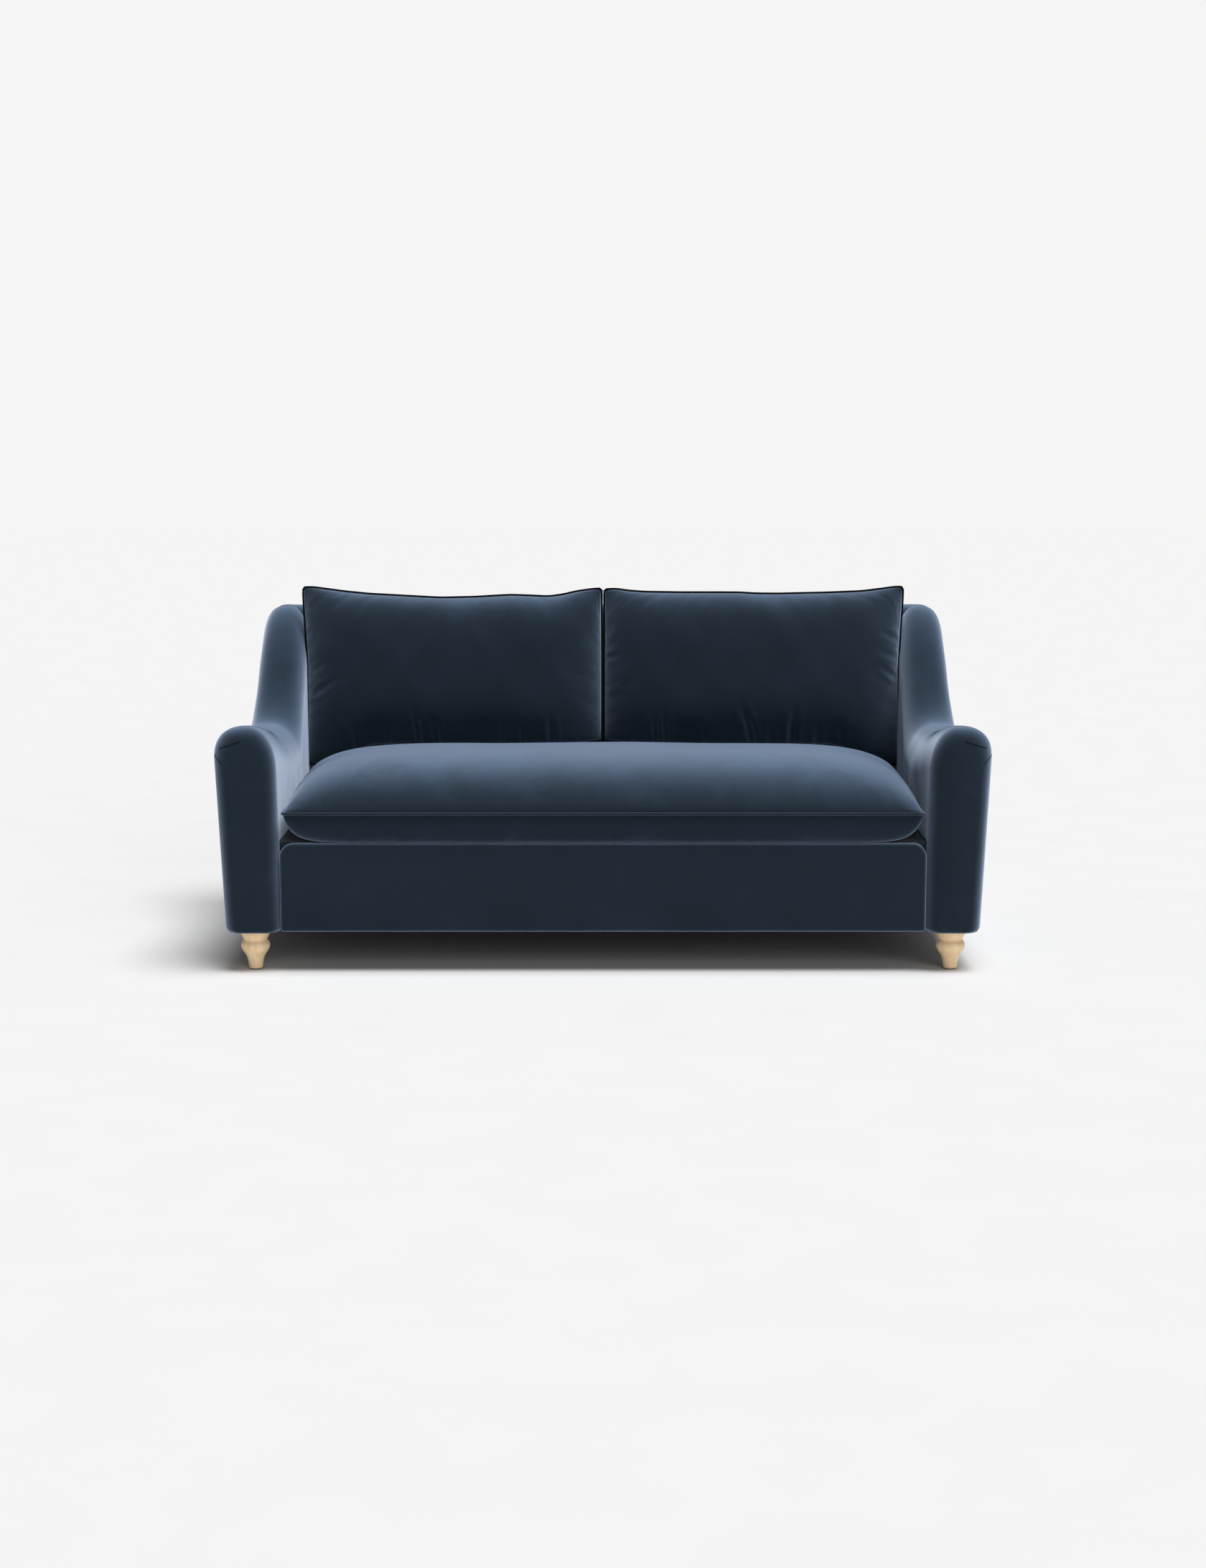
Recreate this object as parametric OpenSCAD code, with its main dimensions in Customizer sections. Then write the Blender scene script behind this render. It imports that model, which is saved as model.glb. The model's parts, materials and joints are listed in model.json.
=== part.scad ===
// Two-cushion sofa with swooping arms, one bench seat cushion and four turned wooden legs.
// Millimetres. X runs across the sofa, Y from its front to its back, Z up.
// The origin is on the floor, under the middle of the sofa.

/* [Body] */
// Width across the arms at their widest
body_w = 1830; // [1700:10:2100]
// Depth from the arm fronts to the outside back
body_d = 960; // [930:10:1000]
// Height of the top of the back above the floor
back_h = 815; // [790:5:840]
// Height of the underside above the floor
base_z = 97; // [90:1:105]

/* [Arms] */
// Height of the arm at its front
arm_h = 583; // [560:1:600]
// How far the arm dips behind its front
arm_dip = 42; // [20:1:50]
// Thickness of the padded arm at its base
arm_t = 134; // [130:1:145]
// How far the arm's outside leans out at its front
arm_lean = 20; // [0:1:25]

/* [Seat] */
// Height of the front border's top edge
deck_z = 308; // [300:1:312]
// Height of the seat cushion's seam at the front
seat_seam_z = 381; // [375:1:386]
// Height of the seat cushion's crown
seat_crown_z = 500; // [490:1:505]

/* [Back cushions] */
// Half of the thickness of a back cushion
cushion_half_t = 80; // [60:1:82]
// Height of the cushions' upper corners
cushion_ear_z = 866; // [850:1:875]

/* [Legs] */
// Radius of a leg's collar
leg_collar_r = 35; // [32:0.5:35]
// Radius of a leg's foot
leg_foot_r = 17; // [15:0.5:19]

/* [Springs] */
// Number of sinuous seat springs
spring_count = 11; // [9:1:13]
// Height of the wire in a seat spring
spring_wire = 3.6; // [3:0.1:4]

/* [Hidden] */
$fn = 48;

// Planes of the whole body
front_y = -body_d / 2;
rear_y = body_d / 2;
arm_out_x = body_w / 2 - arm_lean;        // outside of the arm at its base
arm_in_x = arm_out_x - arm_t;             // inside of the arm at its base
arm_crest_x = arm_out_x - 54;             // where the arm's crest runs
swoop_start_y = -20;                      // where the arm starts to rise to the back
swoop_end_y = 350;                        // where it reaches the height of the back
pad_end_y = 340;                          // rear end of the padding on the arm's inside
front_round_d = 42;                       // depth of the rounding of the arm's front
front_round_in = 34;                      // how far that rounding comes in
shoulder_out_h = 74;                      // height of the crest's outer quarter
shoulder_in_h = 113;                      // height of the crest's inner quarter

// Timber
ply_t = 18;
panel_t = 16;                             // padding between the timber and the outside back
ply_out_x = arm_out_x - 18;               // outer face of the outer ply
ply_in_x = arm_in_x + 20;                 // inner face of the inner ply
box_in_x = ply_in_x + ply_t;              // inside of the hollow between the plies
box_out_x = ply_out_x - ply_t;
timber_z = base_z + 2;                    // underside of the timber
timber_front_y = front_y + front_round_d; // front end of the timber
timber_rear_y = rear_y - panel_t;         // rear end of the timber
rail_t = 28;
back_rail_y = timber_rear_y - rail_t;     // front faces of the rails in the back
seat_rail_z = 279;                        // top of the rails that hold the springs
rail_foot_z = 190;                        // top of the low rails and stretchers
rear_rail_y = 285;                        // front face of the rear seat rail
post_y = 40;                              // depth of an arm post
screw_r = 2;
screw_head_r = 4.2;
screw_head_t = 2;
screw_l = 58;

// Inside back
back_foot_y = 300;                        // face of the inside back at back_foot_z
back_foot_z = 330;
back_lean = 0.132;                        // how far that face leans back for each unit of height
back_pad_t = 38;
rib_t = 24;

// Legs
leg_x = (box_in_x + box_out_x) / 2;
leg_front_y = front_y + 60;
leg_rear_y = rear_y - 60;
glide_t = 2;
bolt_r = 4;
bolt_foot_z = 58;                         // lower end of a hanger bolt, inside its leg
bolt_l = 92;
nut_r = 5.8;                              // barrel of a tee nut
nut_l = 13;
flange_r = 11;
flange_t = 1.6;
block_d = 75;
block_h = 60;                             // height of the block that a leg screws into

// Cushions
seat_front_y = front_y + 8;
seat_rear_y = 282;
seat_half_x = arm_in_x - 9;
seat_bottom_z = deck_z + 1;
seat_rear_top_z = 456;                    // top of the seat cushion where the back cushions stand
cushion_gap = 6;                          // from the middle of the sofa to a back cushion
cushion_foot_z = 470;
cushion_foot_y = 228;                     // seam plane of a back cushion at its foot
seat_piping_r = 3.5;
cushion_piping_r = 2.6;
piping_gap = 0.3;                         // between that piping and the seam it follows

// ---- Helpers -------------------------------------------------------------------------------

function smooth(t) = let (c = min(max(t, 0), 1)) c * c * (3 - 2 * c);
function mix(a, b, t) = a + (b - a) * t;
function back_face_y(z) = back_foot_y + back_lean * (z - back_foot_z);

// Points of a quarter superellipse, from angle 0 to 90 degrees, n steps
function quarter(a, b, power, n) = [
    for (i = [0 : n]) let (t = 90 * i / n) [a * pow(cos(t), 2 / power), b * pow(sin(t), 2 / power)]
];

module mirror_left() { mirror([1, 0, 0]) children(); }
module both_sides() { for (side = [0, 1]) mirror([side, 0, 0]) children(); }

// A plate cut to an outline in Y and Z, standing from x to x + t
module side_plate(outline, x, t) {
    translate([x, 0, 0]) rotate([90, 0, 90]) linear_extrude(t) polygon(outline);
}

module block(low, high) { translate(low) cube(high - low); }

// Triangles across a ring of n points from point first on, in strips that pair its two sides
function ring_cap(n, first) = [
    for (i = [0 : ceil(n / 2) - 2]) let (a = first + i, c = first + n - 2 - i)
        each (a + 1 == c ? [[a, c, c + 1]] : [[a, a + 1, c], [a, c, c + 1]])
];

// Closed mesh through rings of points that all have the same count, capped at both ends
module loft(rings) {
    n = len(rings[0]);
    m = len(rings);
    polyhedron(
        points = [for (r = rings) each r],
        faces = concat(
            ring_cap(n, 0),
            [for (j = [0 : m - 2], i = [0 : n - 1]) let (a = j * n, k = (i + 1) % n)
                each [[a + i, a + n + i, a + n + k], [a + i, a + n + k, a + k]]],
            [for (f = ring_cap(n, (m - 1) * n)) [f[0], f[2], f[1]]]
        ),
        convexity = 8
    );
}

// Closed mesh through rings that join end to end
module ring_loft(rings) {
    n = len(rings[0]);
    m = len(rings);
    polyhedron(
        points = [for (r = rings) each r],
        faces = [
            for (j = [0 : m - 1], i = [0 : n - 1]) let (a = j * n, b = ((j + 1) % m) * n, k = (i + 1) % n)
                each [[a + i, b + k, b + i], [a + i, a + k, b + k]]
        ],
        convexity = 8
    );
}

// ---- Shape of the padded arm ---------------------------------------------------------------

// Height of the arm's crest at depth y
function crest_z(y) = let (low = arm_h - arm_dip)
    arm_h - arm_dip * smooth((y - front_y - 40) / 320)
    + (back_h - low) * smooth((y - swoop_start_y) / (swoop_end_y - swoop_start_y));

// How far the section at depth y is drawn in by the rounding of the arm's front
function drawn_in(y) = let (t = (front_y + front_round_d - y) / front_round_d)
    t <= 0 ? 0 : front_round_in * (1 - sqrt(max(0, 1 - t * t)));

function out_lean(y) = arm_lean / 420 * (1 - smooth((y + 200) / 400));
function outside_x(y, z) = arm_out_x + out_lean(y) * (min(z, arm_h - 20) - base_z) - drawn_in(y);
function inside_x(y, z) = arm_in_x + 0.02 * (z - base_z) + drawn_in(y)
    + 8 * smooth((y - 20) / 160);         // thinner padding beside the back cushions

wall_steps = 4;
crest_steps = 8;

// Outside wall from the base to the shoulder
function wall_out(y, inset) = let (top = crest_z(y) - drawn_in(y) - shoulder_out_h) [
    for (i = [0 : wall_steps]) let (z = mix(base_z, top, i / wall_steps))
        [inset > 0 ? ply_out_x : outside_x(y, z), y, z]
];

// Over the crest, from the outer shoulder to the inner one
function over_crest(y, inset) = let (
    top = crest_z(y) - drawn_in(y),
    zo = top - shoulder_out_h,
    zi = top - shoulder_in_h,
    xo = inset > 0 ? ply_out_x : outside_x(y, zo),
    xi = inset > 0 ? ply_in_x : inside_x(y, zi),
    outer = quarter(xo - arm_crest_x, shoulder_out_h - inset, 2.5, crest_steps),
    inner = quarter(arm_crest_x - xi, shoulder_in_h - inset, 2.2, crest_steps)
) concat(
    [for (p = outer) [arm_crest_x + p[0], y, zo + p[1]]],
    [for (i = [crest_steps - 1 : -1 : 0]) [arm_crest_x - inner[i][0], y, zi + inner[i][1]]]
);

// Inside wall from the inner shoulder down to height foot
function wall_in(y, foot, inset) = let (top = crest_z(y) - drawn_in(y) - shoulder_in_h) [
    for (i = [1 : wall_steps]) let (z = mix(top, foot, i / wall_steps))
        [inset > 0 ? ply_in_x : inside_x(y, z), y, z]
];

function whole_section(y) = concat(
    [for (i = [0 : wall_steps - 1]) wall_out(y, 0)[i]], over_crest(y, 0), wall_in(y, base_z, 0)
);
function reversed(list) = [for (i = [len(list) - 1 : -1 : 0]) list[i]];

// Depths at which the arm's padding is drawn, closer together on the swoop
arm_ys = concat(
    [for (i = [0 : 6]) front_y + front_round_d + i * 60],
    [for (i = [1 : 20]) -78 + i * (pad_end_y + 78) / 20]
);
panel_ys = concat(arm_ys, [pad_end_y + 60, timber_rear_y]);
front_ys = [for (i = [0 : 6]) front_y + front_round_d * (1 - cos(15 * i))];
crest_pad = 35;

module arm_front_pad() { color("#26364a") loft([for (y = reversed(front_ys)) whole_section(y)]); }

module arm_inner_pad() {
    color("#26364a") loft([
        for (y = reversed(arm_ys)) concat(
            over_crest(y, 0), wall_in(y, deck_z, 0),
            reversed(wall_in(y, deck_z, crest_pad)), reversed(over_crest(y, crest_pad))
        )
    ]);
}

module arm_outer_panel() {
    color("#26364a") loft([
        for (y = reversed(panel_ys)) concat(wall_out(y, 0), reversed(wall_out(y, 1)))
    ]);
}

// ---- Arm timber ----------------------------------------------------------------------------

// Outline of a ply side: flat underneath, and drop below the crest on top
function ply_outline(drop) = concat(
    [[timber_front_y, timber_z], [timber_rear_y, timber_z], [timber_rear_y, back_h - drop]],
    [for (i = [20 : -1 : 0]) let (y = mix(timber_front_y, swoop_end_y, i / 20)) [y, crest_z(y) - drop]]
);

module arm_outer_ply() { color("#c9a26b") side_plate(ply_outline(shoulder_out_h + 3), box_out_x, ply_t); }

module arm_inner_ply() {
    color("#c9a26b") difference() {
        side_plate(ply_outline(shoulder_in_h + 3), ply_in_x, ply_t);
        screws(screw_gap);
    }
}

module post(y, top) { block([box_in_x, y, timber_z + block_h], [box_out_x, y + post_y, top]); }

spacer_ys = [-250, -60, 130];

// Posts and spacers in the hollow of each arm
module arm_posts() {
    color("#d8b47c") both_sides() {
        post(timber_front_y, 450);
        post(timber_rear_y - post_y, back_h - 120);
        for (y = spacer_ys) {
            block([box_in_x, y, timber_z], [box_out_x, y + rail_t, timber_z + 70]);
            block([box_in_x, y, 350], [box_out_x, y + rail_t, 410]);
        }
    }
}

// ---- Seat timber ---------------------------------------------------------------------------

// A rail from arm to arm, bored at its ends for the frame screws
module long_rail(y, low, high) {
    color("#d8b47c") difference() {
        block([-ply_in_x, y, low], [ply_in_x, y + rail_t, high]);
        both_sides() screws(screw_gap);
    }
}

module front_seat_rail() { long_rail(timber_front_y, timber_z, seat_rail_z); }
module rear_seat_rail() { long_rail(rear_rail_y, timber_z, seat_rail_z); }
module base_back_rail() { long_rail(back_rail_y, timber_z, rail_foot_z); }

stretcher_x = [-262, 262];

module seat_stretchers() {
    color("#d8b47c") for (x = stretcher_x) {
        left = x - rail_t / 2;
        right = x + rail_t / 2;
        block([left, timber_front_y + rail_t, timber_z], [right, rear_rail_y, rail_foot_z]);
        block([left, rear_rail_y + rail_t, timber_z], [right, back_rail_y, rail_foot_z]);
    }
}

// Triangular blocks glued into the corners of the seat frame
module glue_blocks() {
    reach = 90;
    height = 50;
    color("#caa873") both_sides() {
        translate([ply_in_x, timber_front_y + rail_t, 165]) linear_extrude(height)
            polygon([[0, 0], [-reach, 0], [0, reach]]);
        translate([ply_in_x, rear_rail_y, 165]) linear_extrude(height)
            polygon([[0, 0], [-reach, 0], [0, -reach]]);
    }
}

// ---- Legs ----------------------------------------------------------------------------------

module at_legs() {
    for (x = [-leg_x, leg_x], y = [leg_front_y, leg_rear_y]) translate([x, y, 0]) children();
}

// Turned outline of a leg, as radius and height
leg_outline = [
    [0, glide_t], [leg_foot_r - 2, glide_t], [leg_foot_r, glide_t + 2], [leg_foot_r + 0.4, 10],
    [leg_foot_r + 1.8, 20], [leg_foot_r + 3.6, 28], [leg_collar_r - 11, 35.5], [leg_collar_r - 6.4, 42],
    [leg_collar_r - 2.8, 48], [leg_collar_r - 1, 53], [leg_collar_r - 0.6, 57], [leg_collar_r - 1, 61],
    [leg_collar_r - 2.6, 65], [leg_collar_r - 5, 68.5], [leg_collar_r - 6.6, 71], [leg_collar_r - 6.8, 73],
    [leg_collar_r - 5, 76], [leg_collar_r - 3, 80], [leg_collar_r - 1.2, 84], [leg_collar_r, 87],
    [leg_collar_r, base_z], [0, base_z]
];

module leg(x, y) {
    color("#dcbd8c") translate([x, y, 0]) difference() {
        rotate_extrude() polygon(leg_outline);
        translate([0, 0, bolt_foot_z]) cylinder(r = bolt_r + 0.03, h = base_z);
    }
}

module leg_glides() { color("#3a3a3a") at_legs() cylinder(r = leg_foot_r - 3, h = glide_t); }

module leg_blocks() {
    color("#d8b47c") for (x = [-leg_x, leg_x], y = [leg_front_y, leg_rear_y]) difference() {
        block([x - leg_x + box_in_x, y > 0 ? timber_rear_y - block_d : timber_front_y, timber_z],
              [x + leg_x - box_in_x, y > 0 ? timber_rear_y : timber_front_y + block_d, timber_z + block_h]);
        translate([x, y, timber_z - 1]) cylinder(r = nut_r + 0.2, h = block_h + 2);
        translate([x, y, timber_z + block_h - flange_t - 0.4]) cylinder(r = flange_r + 0.5, h = 5);
    }
}

module leg_hanger_bolts() {
    color("#b8bcc0") at_legs() translate([0, 0, bolt_foot_z]) cylinder(r = bolt_r, h = bolt_l);
}

module leg_tee_nuts() {
    seat = timber_z + block_h - flange_t - 0.4;
    color("#b8bcc0") at_legs() translate([0, 0, seat]) difference() {
        union() {
            translate([0, 0, -nut_l]) cylinder(r = nut_r, h = nut_l + flange_t / 2);
            cylinder(r = flange_r, h = flange_t);
        }
        translate([0, 0, -nut_l - 1]) cylinder(r = bolt_r + 0.05, h = 2 * nut_l);
    }
}

// ---- Back frame ----------------------------------------------------------------------------

rib_x = [-arm_in_x + rib_t / 2, -262, 262, arm_in_x - rib_t / 2];
lumbar_z = 400;
rail_h = 50;
top_rail_z = back_h - shoulder_out_h - rail_h;
strap_t = 2;
strap_w = 50;

// A rib's outline: its front edge leans with the back, and its rear edge is notched for the rails
module back_rib(x) {
    top = top_rail_z + rail_h;
    front = back_pad_t + strap_t;
    color("#c9a26b") side_plate([
        [rear_rail_y + rail_t, rail_foot_z], [timber_rear_y, rail_foot_z],
        [timber_rear_y, lumbar_z], [back_rail_y, lumbar_z],
        [back_rail_y, lumbar_z + rail_h], [timber_rear_y, lumbar_z + rail_h],
        [timber_rear_y, top_rail_z], [back_rail_y, top_rail_z], [back_rail_y, top],
        [back_face_y(top) + front, top], [back_face_y(seat_rail_z) + front, seat_rail_z],
        [rear_rail_y + rail_t, seat_rail_z]
    ], x - rib_t / 2, rib_t);
}

module back_top_rail() { long_rail(back_rail_y, top_rail_z, top_rail_z + rail_h); }
module back_lumbar_rail() { long_rail(back_rail_y, lumbar_z, lumbar_z + rail_h); }

// Elastic straps across the fronts of the ribs, stretched from arm to arm
module back_webbing() {
    color("#4b4b4f") for (z = [345 : 85 : top_rail_z])
        side_plate([
            for (c = [[0, 0], [strap_t, 0], [strap_t, strap_w], [0, strap_w]])
                [back_face_y(z + c[1]) + back_pad_t + c[0], z + c[1]]
        ], -ply_in_x, 2 * ply_in_x);
}

// ---- Springs and fasteners -----------------------------------------------------------------

spring_pitch = 44;                        // length of one full wave
spring_half_w = 23;                       // half of the width of a wave
spring_front_y = timber_front_y + rail_t / 2;
spring_rear_y = rear_rail_y + rail_t / 2;
spring_xs = [for (i = [0 : spring_count - 1]) mix(-690, 690, i / (spring_count - 1))];
turn_steps = 3;
clip_t = 1;
spring_z = seat_rail_z + clip_t;           // underside of the springs
wire_r = 1;

// Centre line of a sinuous spring: straight bars across, joined by half turns
function spring_line() = let (
    bars = 2 * floor((spring_rear_y - spring_front_y) / spring_pitch),
    gap = (spring_rear_y - spring_front_y) / bars,
    turn_r = gap / 2,
    reach = spring_half_w - turn_r
) [
    for (i = [0 : bars - 1], k = [0 : turn_steps]) let (
        side = i % 2 == 0 ? 1 : -1,
        a = -90 + 180 * k / turn_steps
    ) [side * (reach + turn_r * cos(a)), spring_front_y + (i + 0.5) * gap + turn_r * sin(a)]
];

// A ribbon of width w along a line of points, as a closed outline
function ribbon(line, w) = let (
    n = len(line),
    dirs = [for (i = [0 : n - 1]) let (d = line[min(i + 1, n - 1)] - line[max(i - 1, 0)]) d / norm(d)],
    left = [for (i = [0 : n - 1]) line[i] + w / 2 * [-dirs[i][1], dirs[i][0]]],
    right = [for (i = [n - 1 : -1 : 0]) line[i] - w / 2 * [-dirs[i][1], dirs[i][0]]]
) concat(left, right);

module seat_springs() {
    shape = ribbon(spring_line(), spring_wire);
    color("#8d9196") for (x = spring_xs)
        translate([x, 0, spring_z]) linear_extrude(spring_wire) polygon(shape);
}

// A folded steel clip that holds a spring's end on a rail
module spring_clip() {
    w = 24;
    reach = 11;
    room = spring_wire + 0.2;
    color("#a9adb2") {
        block([-w / 2, -reach, 0], [w / 2, reach, clip_t]);
        block([-w / 2, -reach - clip_t, 0], [w / 2, -reach, room + 2 * clip_t]);
        block([-w / 2, -reach, room + clip_t], [w / 2, 5, room + 2 * clip_t]);
    }
}

module spring_clips() {
    for (x = spring_xs) {
        translate([x, spring_front_y, seat_rail_z]) spring_clip();
        translate([x, spring_rear_y, seat_rail_z]) mirror([0, 1, 0]) spring_clip();
    }
}

module spring_tie_wires() {
    color("#8d9196") for (y = [-230, -60, 110])
        translate([-ply_in_x, y, spring_z + spring_wire + wire_r]) rotate([0, 90, 0])
            cylinder(r = wire_r, h = 2 * ply_in_x, $fn = 16);
}

// Screws on one side, through the inner ply into the ends of the rails, each grown by gap
screw_gap = 0.05;
screw_spots = [
    [timber_front_y + rail_t / 2, 140], [timber_front_y + rail_t / 2, 240],
    [rear_rail_y + rail_t / 2, 140], [rear_rail_y + rail_t / 2, 240],
    [back_rail_y + rail_t / 2, 145], [back_rail_y + rail_t / 2, lumbar_z + rail_h / 2],
    [back_rail_y + rail_t / 2, top_rail_z + rail_h / 2]
];

module screws(gap) {
    for (p = screw_spots) translate([box_in_x, p[0], p[1]]) rotate([0, -90, 0]) {
        translate([0, 0, -gap]) cylinder(r = screw_head_r + gap, h = screw_head_t + gap, $fn = 24);
        cylinder(r = screw_r + gap, h = screw_l + gap, $fn = 24);
    }
}

module frame_screws() { color("#c8b45a") both_sides() screws(0); }

// ---- Padding -------------------------------------------------------------------------------

module seat_deck_pad() {
    foot = spring_z + spring_wire + 2 * wire_r;
    color("#1d2733") block([-ply_in_x, timber_front_y, foot], [ply_in_x, rear_rail_y + rail_t, deck_z]);
}

// The padded border under the seat: a slab with rounded upper corners
module front_border_pad() {
    corner_r = 30;
    depth = 30;
    half = arm_in_x - 1;
    outline = concat(
        [[-half, base_z], [half, base_z]],
        [for (a = [0 : 10 : 90]) [half, deck_z] + corner_r * [cos(a) - 1, sin(a) - 1]],
        [for (a = [90 : 10 : 180]) [-half, deck_z] + corner_r * [cos(a) + 1, sin(a) - 1]]
    );
    color("#26364a") translate([0, timber_front_y, 0]) rotate([90, 0, 0])
        linear_extrude(depth) polygon(outline);
}

module inside_back_pad() {
    top = top_rail_z + rail_h;
    color("#26364a") side_plate([
        [back_face_y(deck_z), deck_z], [back_face_y(deck_z) + back_pad_t, deck_z],
        [back_face_y(top) + back_pad_t, top], [back_face_y(top), top]
    ], -arm_in_x + 1, 2 * arm_in_x - 2);
}

// Section of the roll along the top of the back, drawn down by drop at its ends
function top_roll(x, drop) = let (
    y0 = pad_end_y,
    y1 = rear_y - 3,
    foot = back_h - shoulder_out_h,
    half = (y1 - y0) / 2,
    rise = back_h - drop - foot,
    arc = quarter(half, rise, 2.6, 8)
) concat(
    [for (p = arc) [x, y1 - half + p[0], foot + p[1]]],
    [for (i = [7 : -1 : 0]) [x, y0 + half - arc[i][0], foot + arc[i][1]]]
);

module back_top_pad() {
    reach = arm_out_x - arm_crest_x;
    ends = [for (i = [0 : 7]) let (t = sin(11.5 * i + 4)) [
        reach * t, shoulder_out_h * (1 - pow(1 - pow(t, 2.5), 1 / 2.5))
    ]];
    color("#26364a") loft(concat(
        [for (e = reversed(ends)) top_roll(-arm_crest_x - e[0], e[1])],
        [for (e = ends) top_roll(arm_crest_x + e[0], e[1])]
    ));
}

module outside_back_panel() {
    color("#26364a") block([-arm_out_x, timber_rear_y, base_z], [arm_out_x, rear_y, back_h - shoulder_out_h]);
}

module dust_cover() {
    color("#1a1a1c") difference() {
        block([-ply_out_x, timber_front_y, base_z], [ply_out_x, timber_rear_y, timber_z]);
        at_legs() cylinder(r = nut_r + 0.2, h = 3 * base_z, center = true);
    }
}

// ---- Cushions ------------------------------------------------------------------------------

// Depth of a stuffed face at (u, v), both from -1 to 1: 1 over the middle and 0 on the seam
function bulge(t, power, gain) = pow(max(0, 1 - pow(abs(t), power)), gain);
function puff(u, v, power, gain) = bulge(u, power, gain) * bulge(v, power, gain);

// Even steps from -1 to 1 that close up towards the ends
function eased(n) = [for (i = [0 : n]) -cos(180 * i / n)];

// Closed two-sided mesh. Each grid is a list of rows, and both grids share their outer points.
module pillow(upper, lower) {
    rows = len(upper);
    cols = len(upper[0]);
    size = rows * cols;
    function at(r, c) = r * cols + c;
    function low(r, c) = (r == 0 || c == 0 || r == rows - 1 || c == cols - 1) ? at(r, c) : size + at(r, c);
    // Each square is cut along the diagonal that points to the nearest corner
    function halves(p, r, c) = (2 * r < rows - 1) == (2 * c < cols - 1)
        ? [[p[0], p[1], p[2]], [p[0], p[2], p[3]]]
        : [[p[0], p[1], p[3]], [p[1], p[2], p[3]]];
    polyhedron(
        points = concat([for (r = upper) each r], [for (r = lower) each r]),
        faces = [
            for (r = [0 : rows - 2], c = [0 : cols - 2]) each concat(
                halves([at(r, c), at(r + 1, c), at(r + 1, c + 1), at(r, c + 1)], r, c),
                halves([low(r, c), low(r, c + 1), low(r + 1, c + 1), low(r + 1, c)], r, c)
            )
        ],
        convexity = 4
    );
}

// A cord that follows a closed loop of points, as a six-sided tube
module piping(loop, r) {
    n = len(loop);
    ring_loft([
        for (i = [0 : n - 1]) let (
            d = loop[(i + 1) % n] - loop[(i + n - 1) % n],
            side = cross(d, [0, 0, 1]),
            a = norm(side) > 0.01 * norm(d) ? side / norm(side) : [1, 0, 0],
            b = cross(a, d / norm(d))
        ) [for (k = [0 : 5]) loop[i] + r * (cos(60 * k) * a + sin(60 * k) * b)]
    ]);
}

// Points around the edge of a grid, each one once
function rim(grid) = let (r = len(grid) - 1, c = len(grid[0]) - 1) concat(
    [for (i = [0 : c - 1]) grid[0][i]], [for (j = [0 : r - 1]) grid[j][c]],
    [for (i = [c : -1 : 1]) grid[r][i]], [for (j = [r : -1 : 1]) grid[j][0]]
);

// A grid of seam points, moved share of the way towards the grid of surface points
function towards(seam, surface, share) = [
    for (r = [0 : len(seam) - 1]) [for (c = [0 : len(seam[0]) - 1]) mix(seam[r][c], surface[r][c], share)]
];
core_share = 0.8;                         // how much of a cushion's thickness its core fills

seat_zip_half = 520;
cushion_zip_x = [120, 660];

// Seat cushion. Its seam is straight, and it is flat where it rests on the deck.
seat_us = eased(22);
seat_vs = eased(14);
function seat_y(v) = mix(seat_front_y, seat_rear_y, (v + 1) / 2);
function seat_seam(y) = mix(seat_seam_z, 390, smooth((y - front_y) / 700));
function seat_crown(y) = mix(seat_crown_z, seat_rear_top_z, smooth((y + 60) / 180));
function seat_top(u, v) = let (y = seat_y(v))
    mix(seat_seam(y), seat_crown(y), bulge(u, 7, 0.5) * bulge(v, 4, 0.6));
function seat_low(u, v) = let (y = seat_y(v))
    max(seat_bottom_z, mix(seat_seam(y), seat_bottom_z, 1.04 * puff(u, v, 14, 0.5)));
seat_seam_grid = [for (v = seat_vs) [for (u = seat_us) [u * seat_half_x, seat_y(v), seat_seam(seat_y(v))]]];
seat_upper = [for (v = seat_vs) [for (u = seat_us) [u * seat_half_x, seat_y(v), seat_top(u, v)]]];
seat_lower = [for (v = seat_vs) [for (u = seat_us) [u * seat_half_x, seat_y(v), seat_low(u, v)]]];
seat_core_upper = towards(seat_seam_grid, seat_upper, core_share);
seat_core_lower = towards(seat_seam_grid, seat_lower, core_share);

module seat_cushion_top() { color("#2f4156") pillow(seat_upper, seat_core_upper); }
module seat_cushion_core() { color("#efe6c8") pillow(seat_core_upper, seat_core_lower); }
module seat_cushion_base() { color("#2f4156") pillow(seat_core_lower, seat_lower); }

seat_rim = rim([
    for (v = seat_vs) [for (u = seat_us)
        [u * seat_half_x, seat_y(v), seat_seam(seat_y(v))] + seat_piping_r * [u, v, 0]
    ]
]);

module seat_cushion_piping() { color("#223144") piping(seat_rim, seat_piping_r); }

// Back cushion, for the right side. u runs across, v up, and w through its thickness.
ear_rise = 30;                            // how far its upper corners stand above its top edge
function cushion_outer_x(v) = mix(arm_in_x + 4, arm_in_x + 24, smooth((v + 0.1) / 1.1));
function cushion_x(u, v) = mix(cushion_gap, cushion_outer_x(v), (u + 1) / 2);
function cushion_z(u, v) = mix(cushion_foot_z, cushion_ear_z - ear_rise, (v + 1) / 2)
    + ear_rise * pow(abs(u), 3) * smooth((v - 0.2) / 0.8);
function cushion_y(z) = cushion_foot_y + back_lean * (z - cushion_foot_z);
function cushion_point(u, v, w) = let (z = cushion_z(u, v)) [
    cushion_x(u, v), cushion_y(z) + w * cushion_half_t * puff(u, v, 4, 0.6) * (w > 0 ? 0.82 : 1), z
];
cushion_us = eased(14);
cushion_vs = eased(12);
cushion_seam = [for (v = cushion_vs) [for (u = cushion_us) cushion_point(u, v, 0)]];
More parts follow.
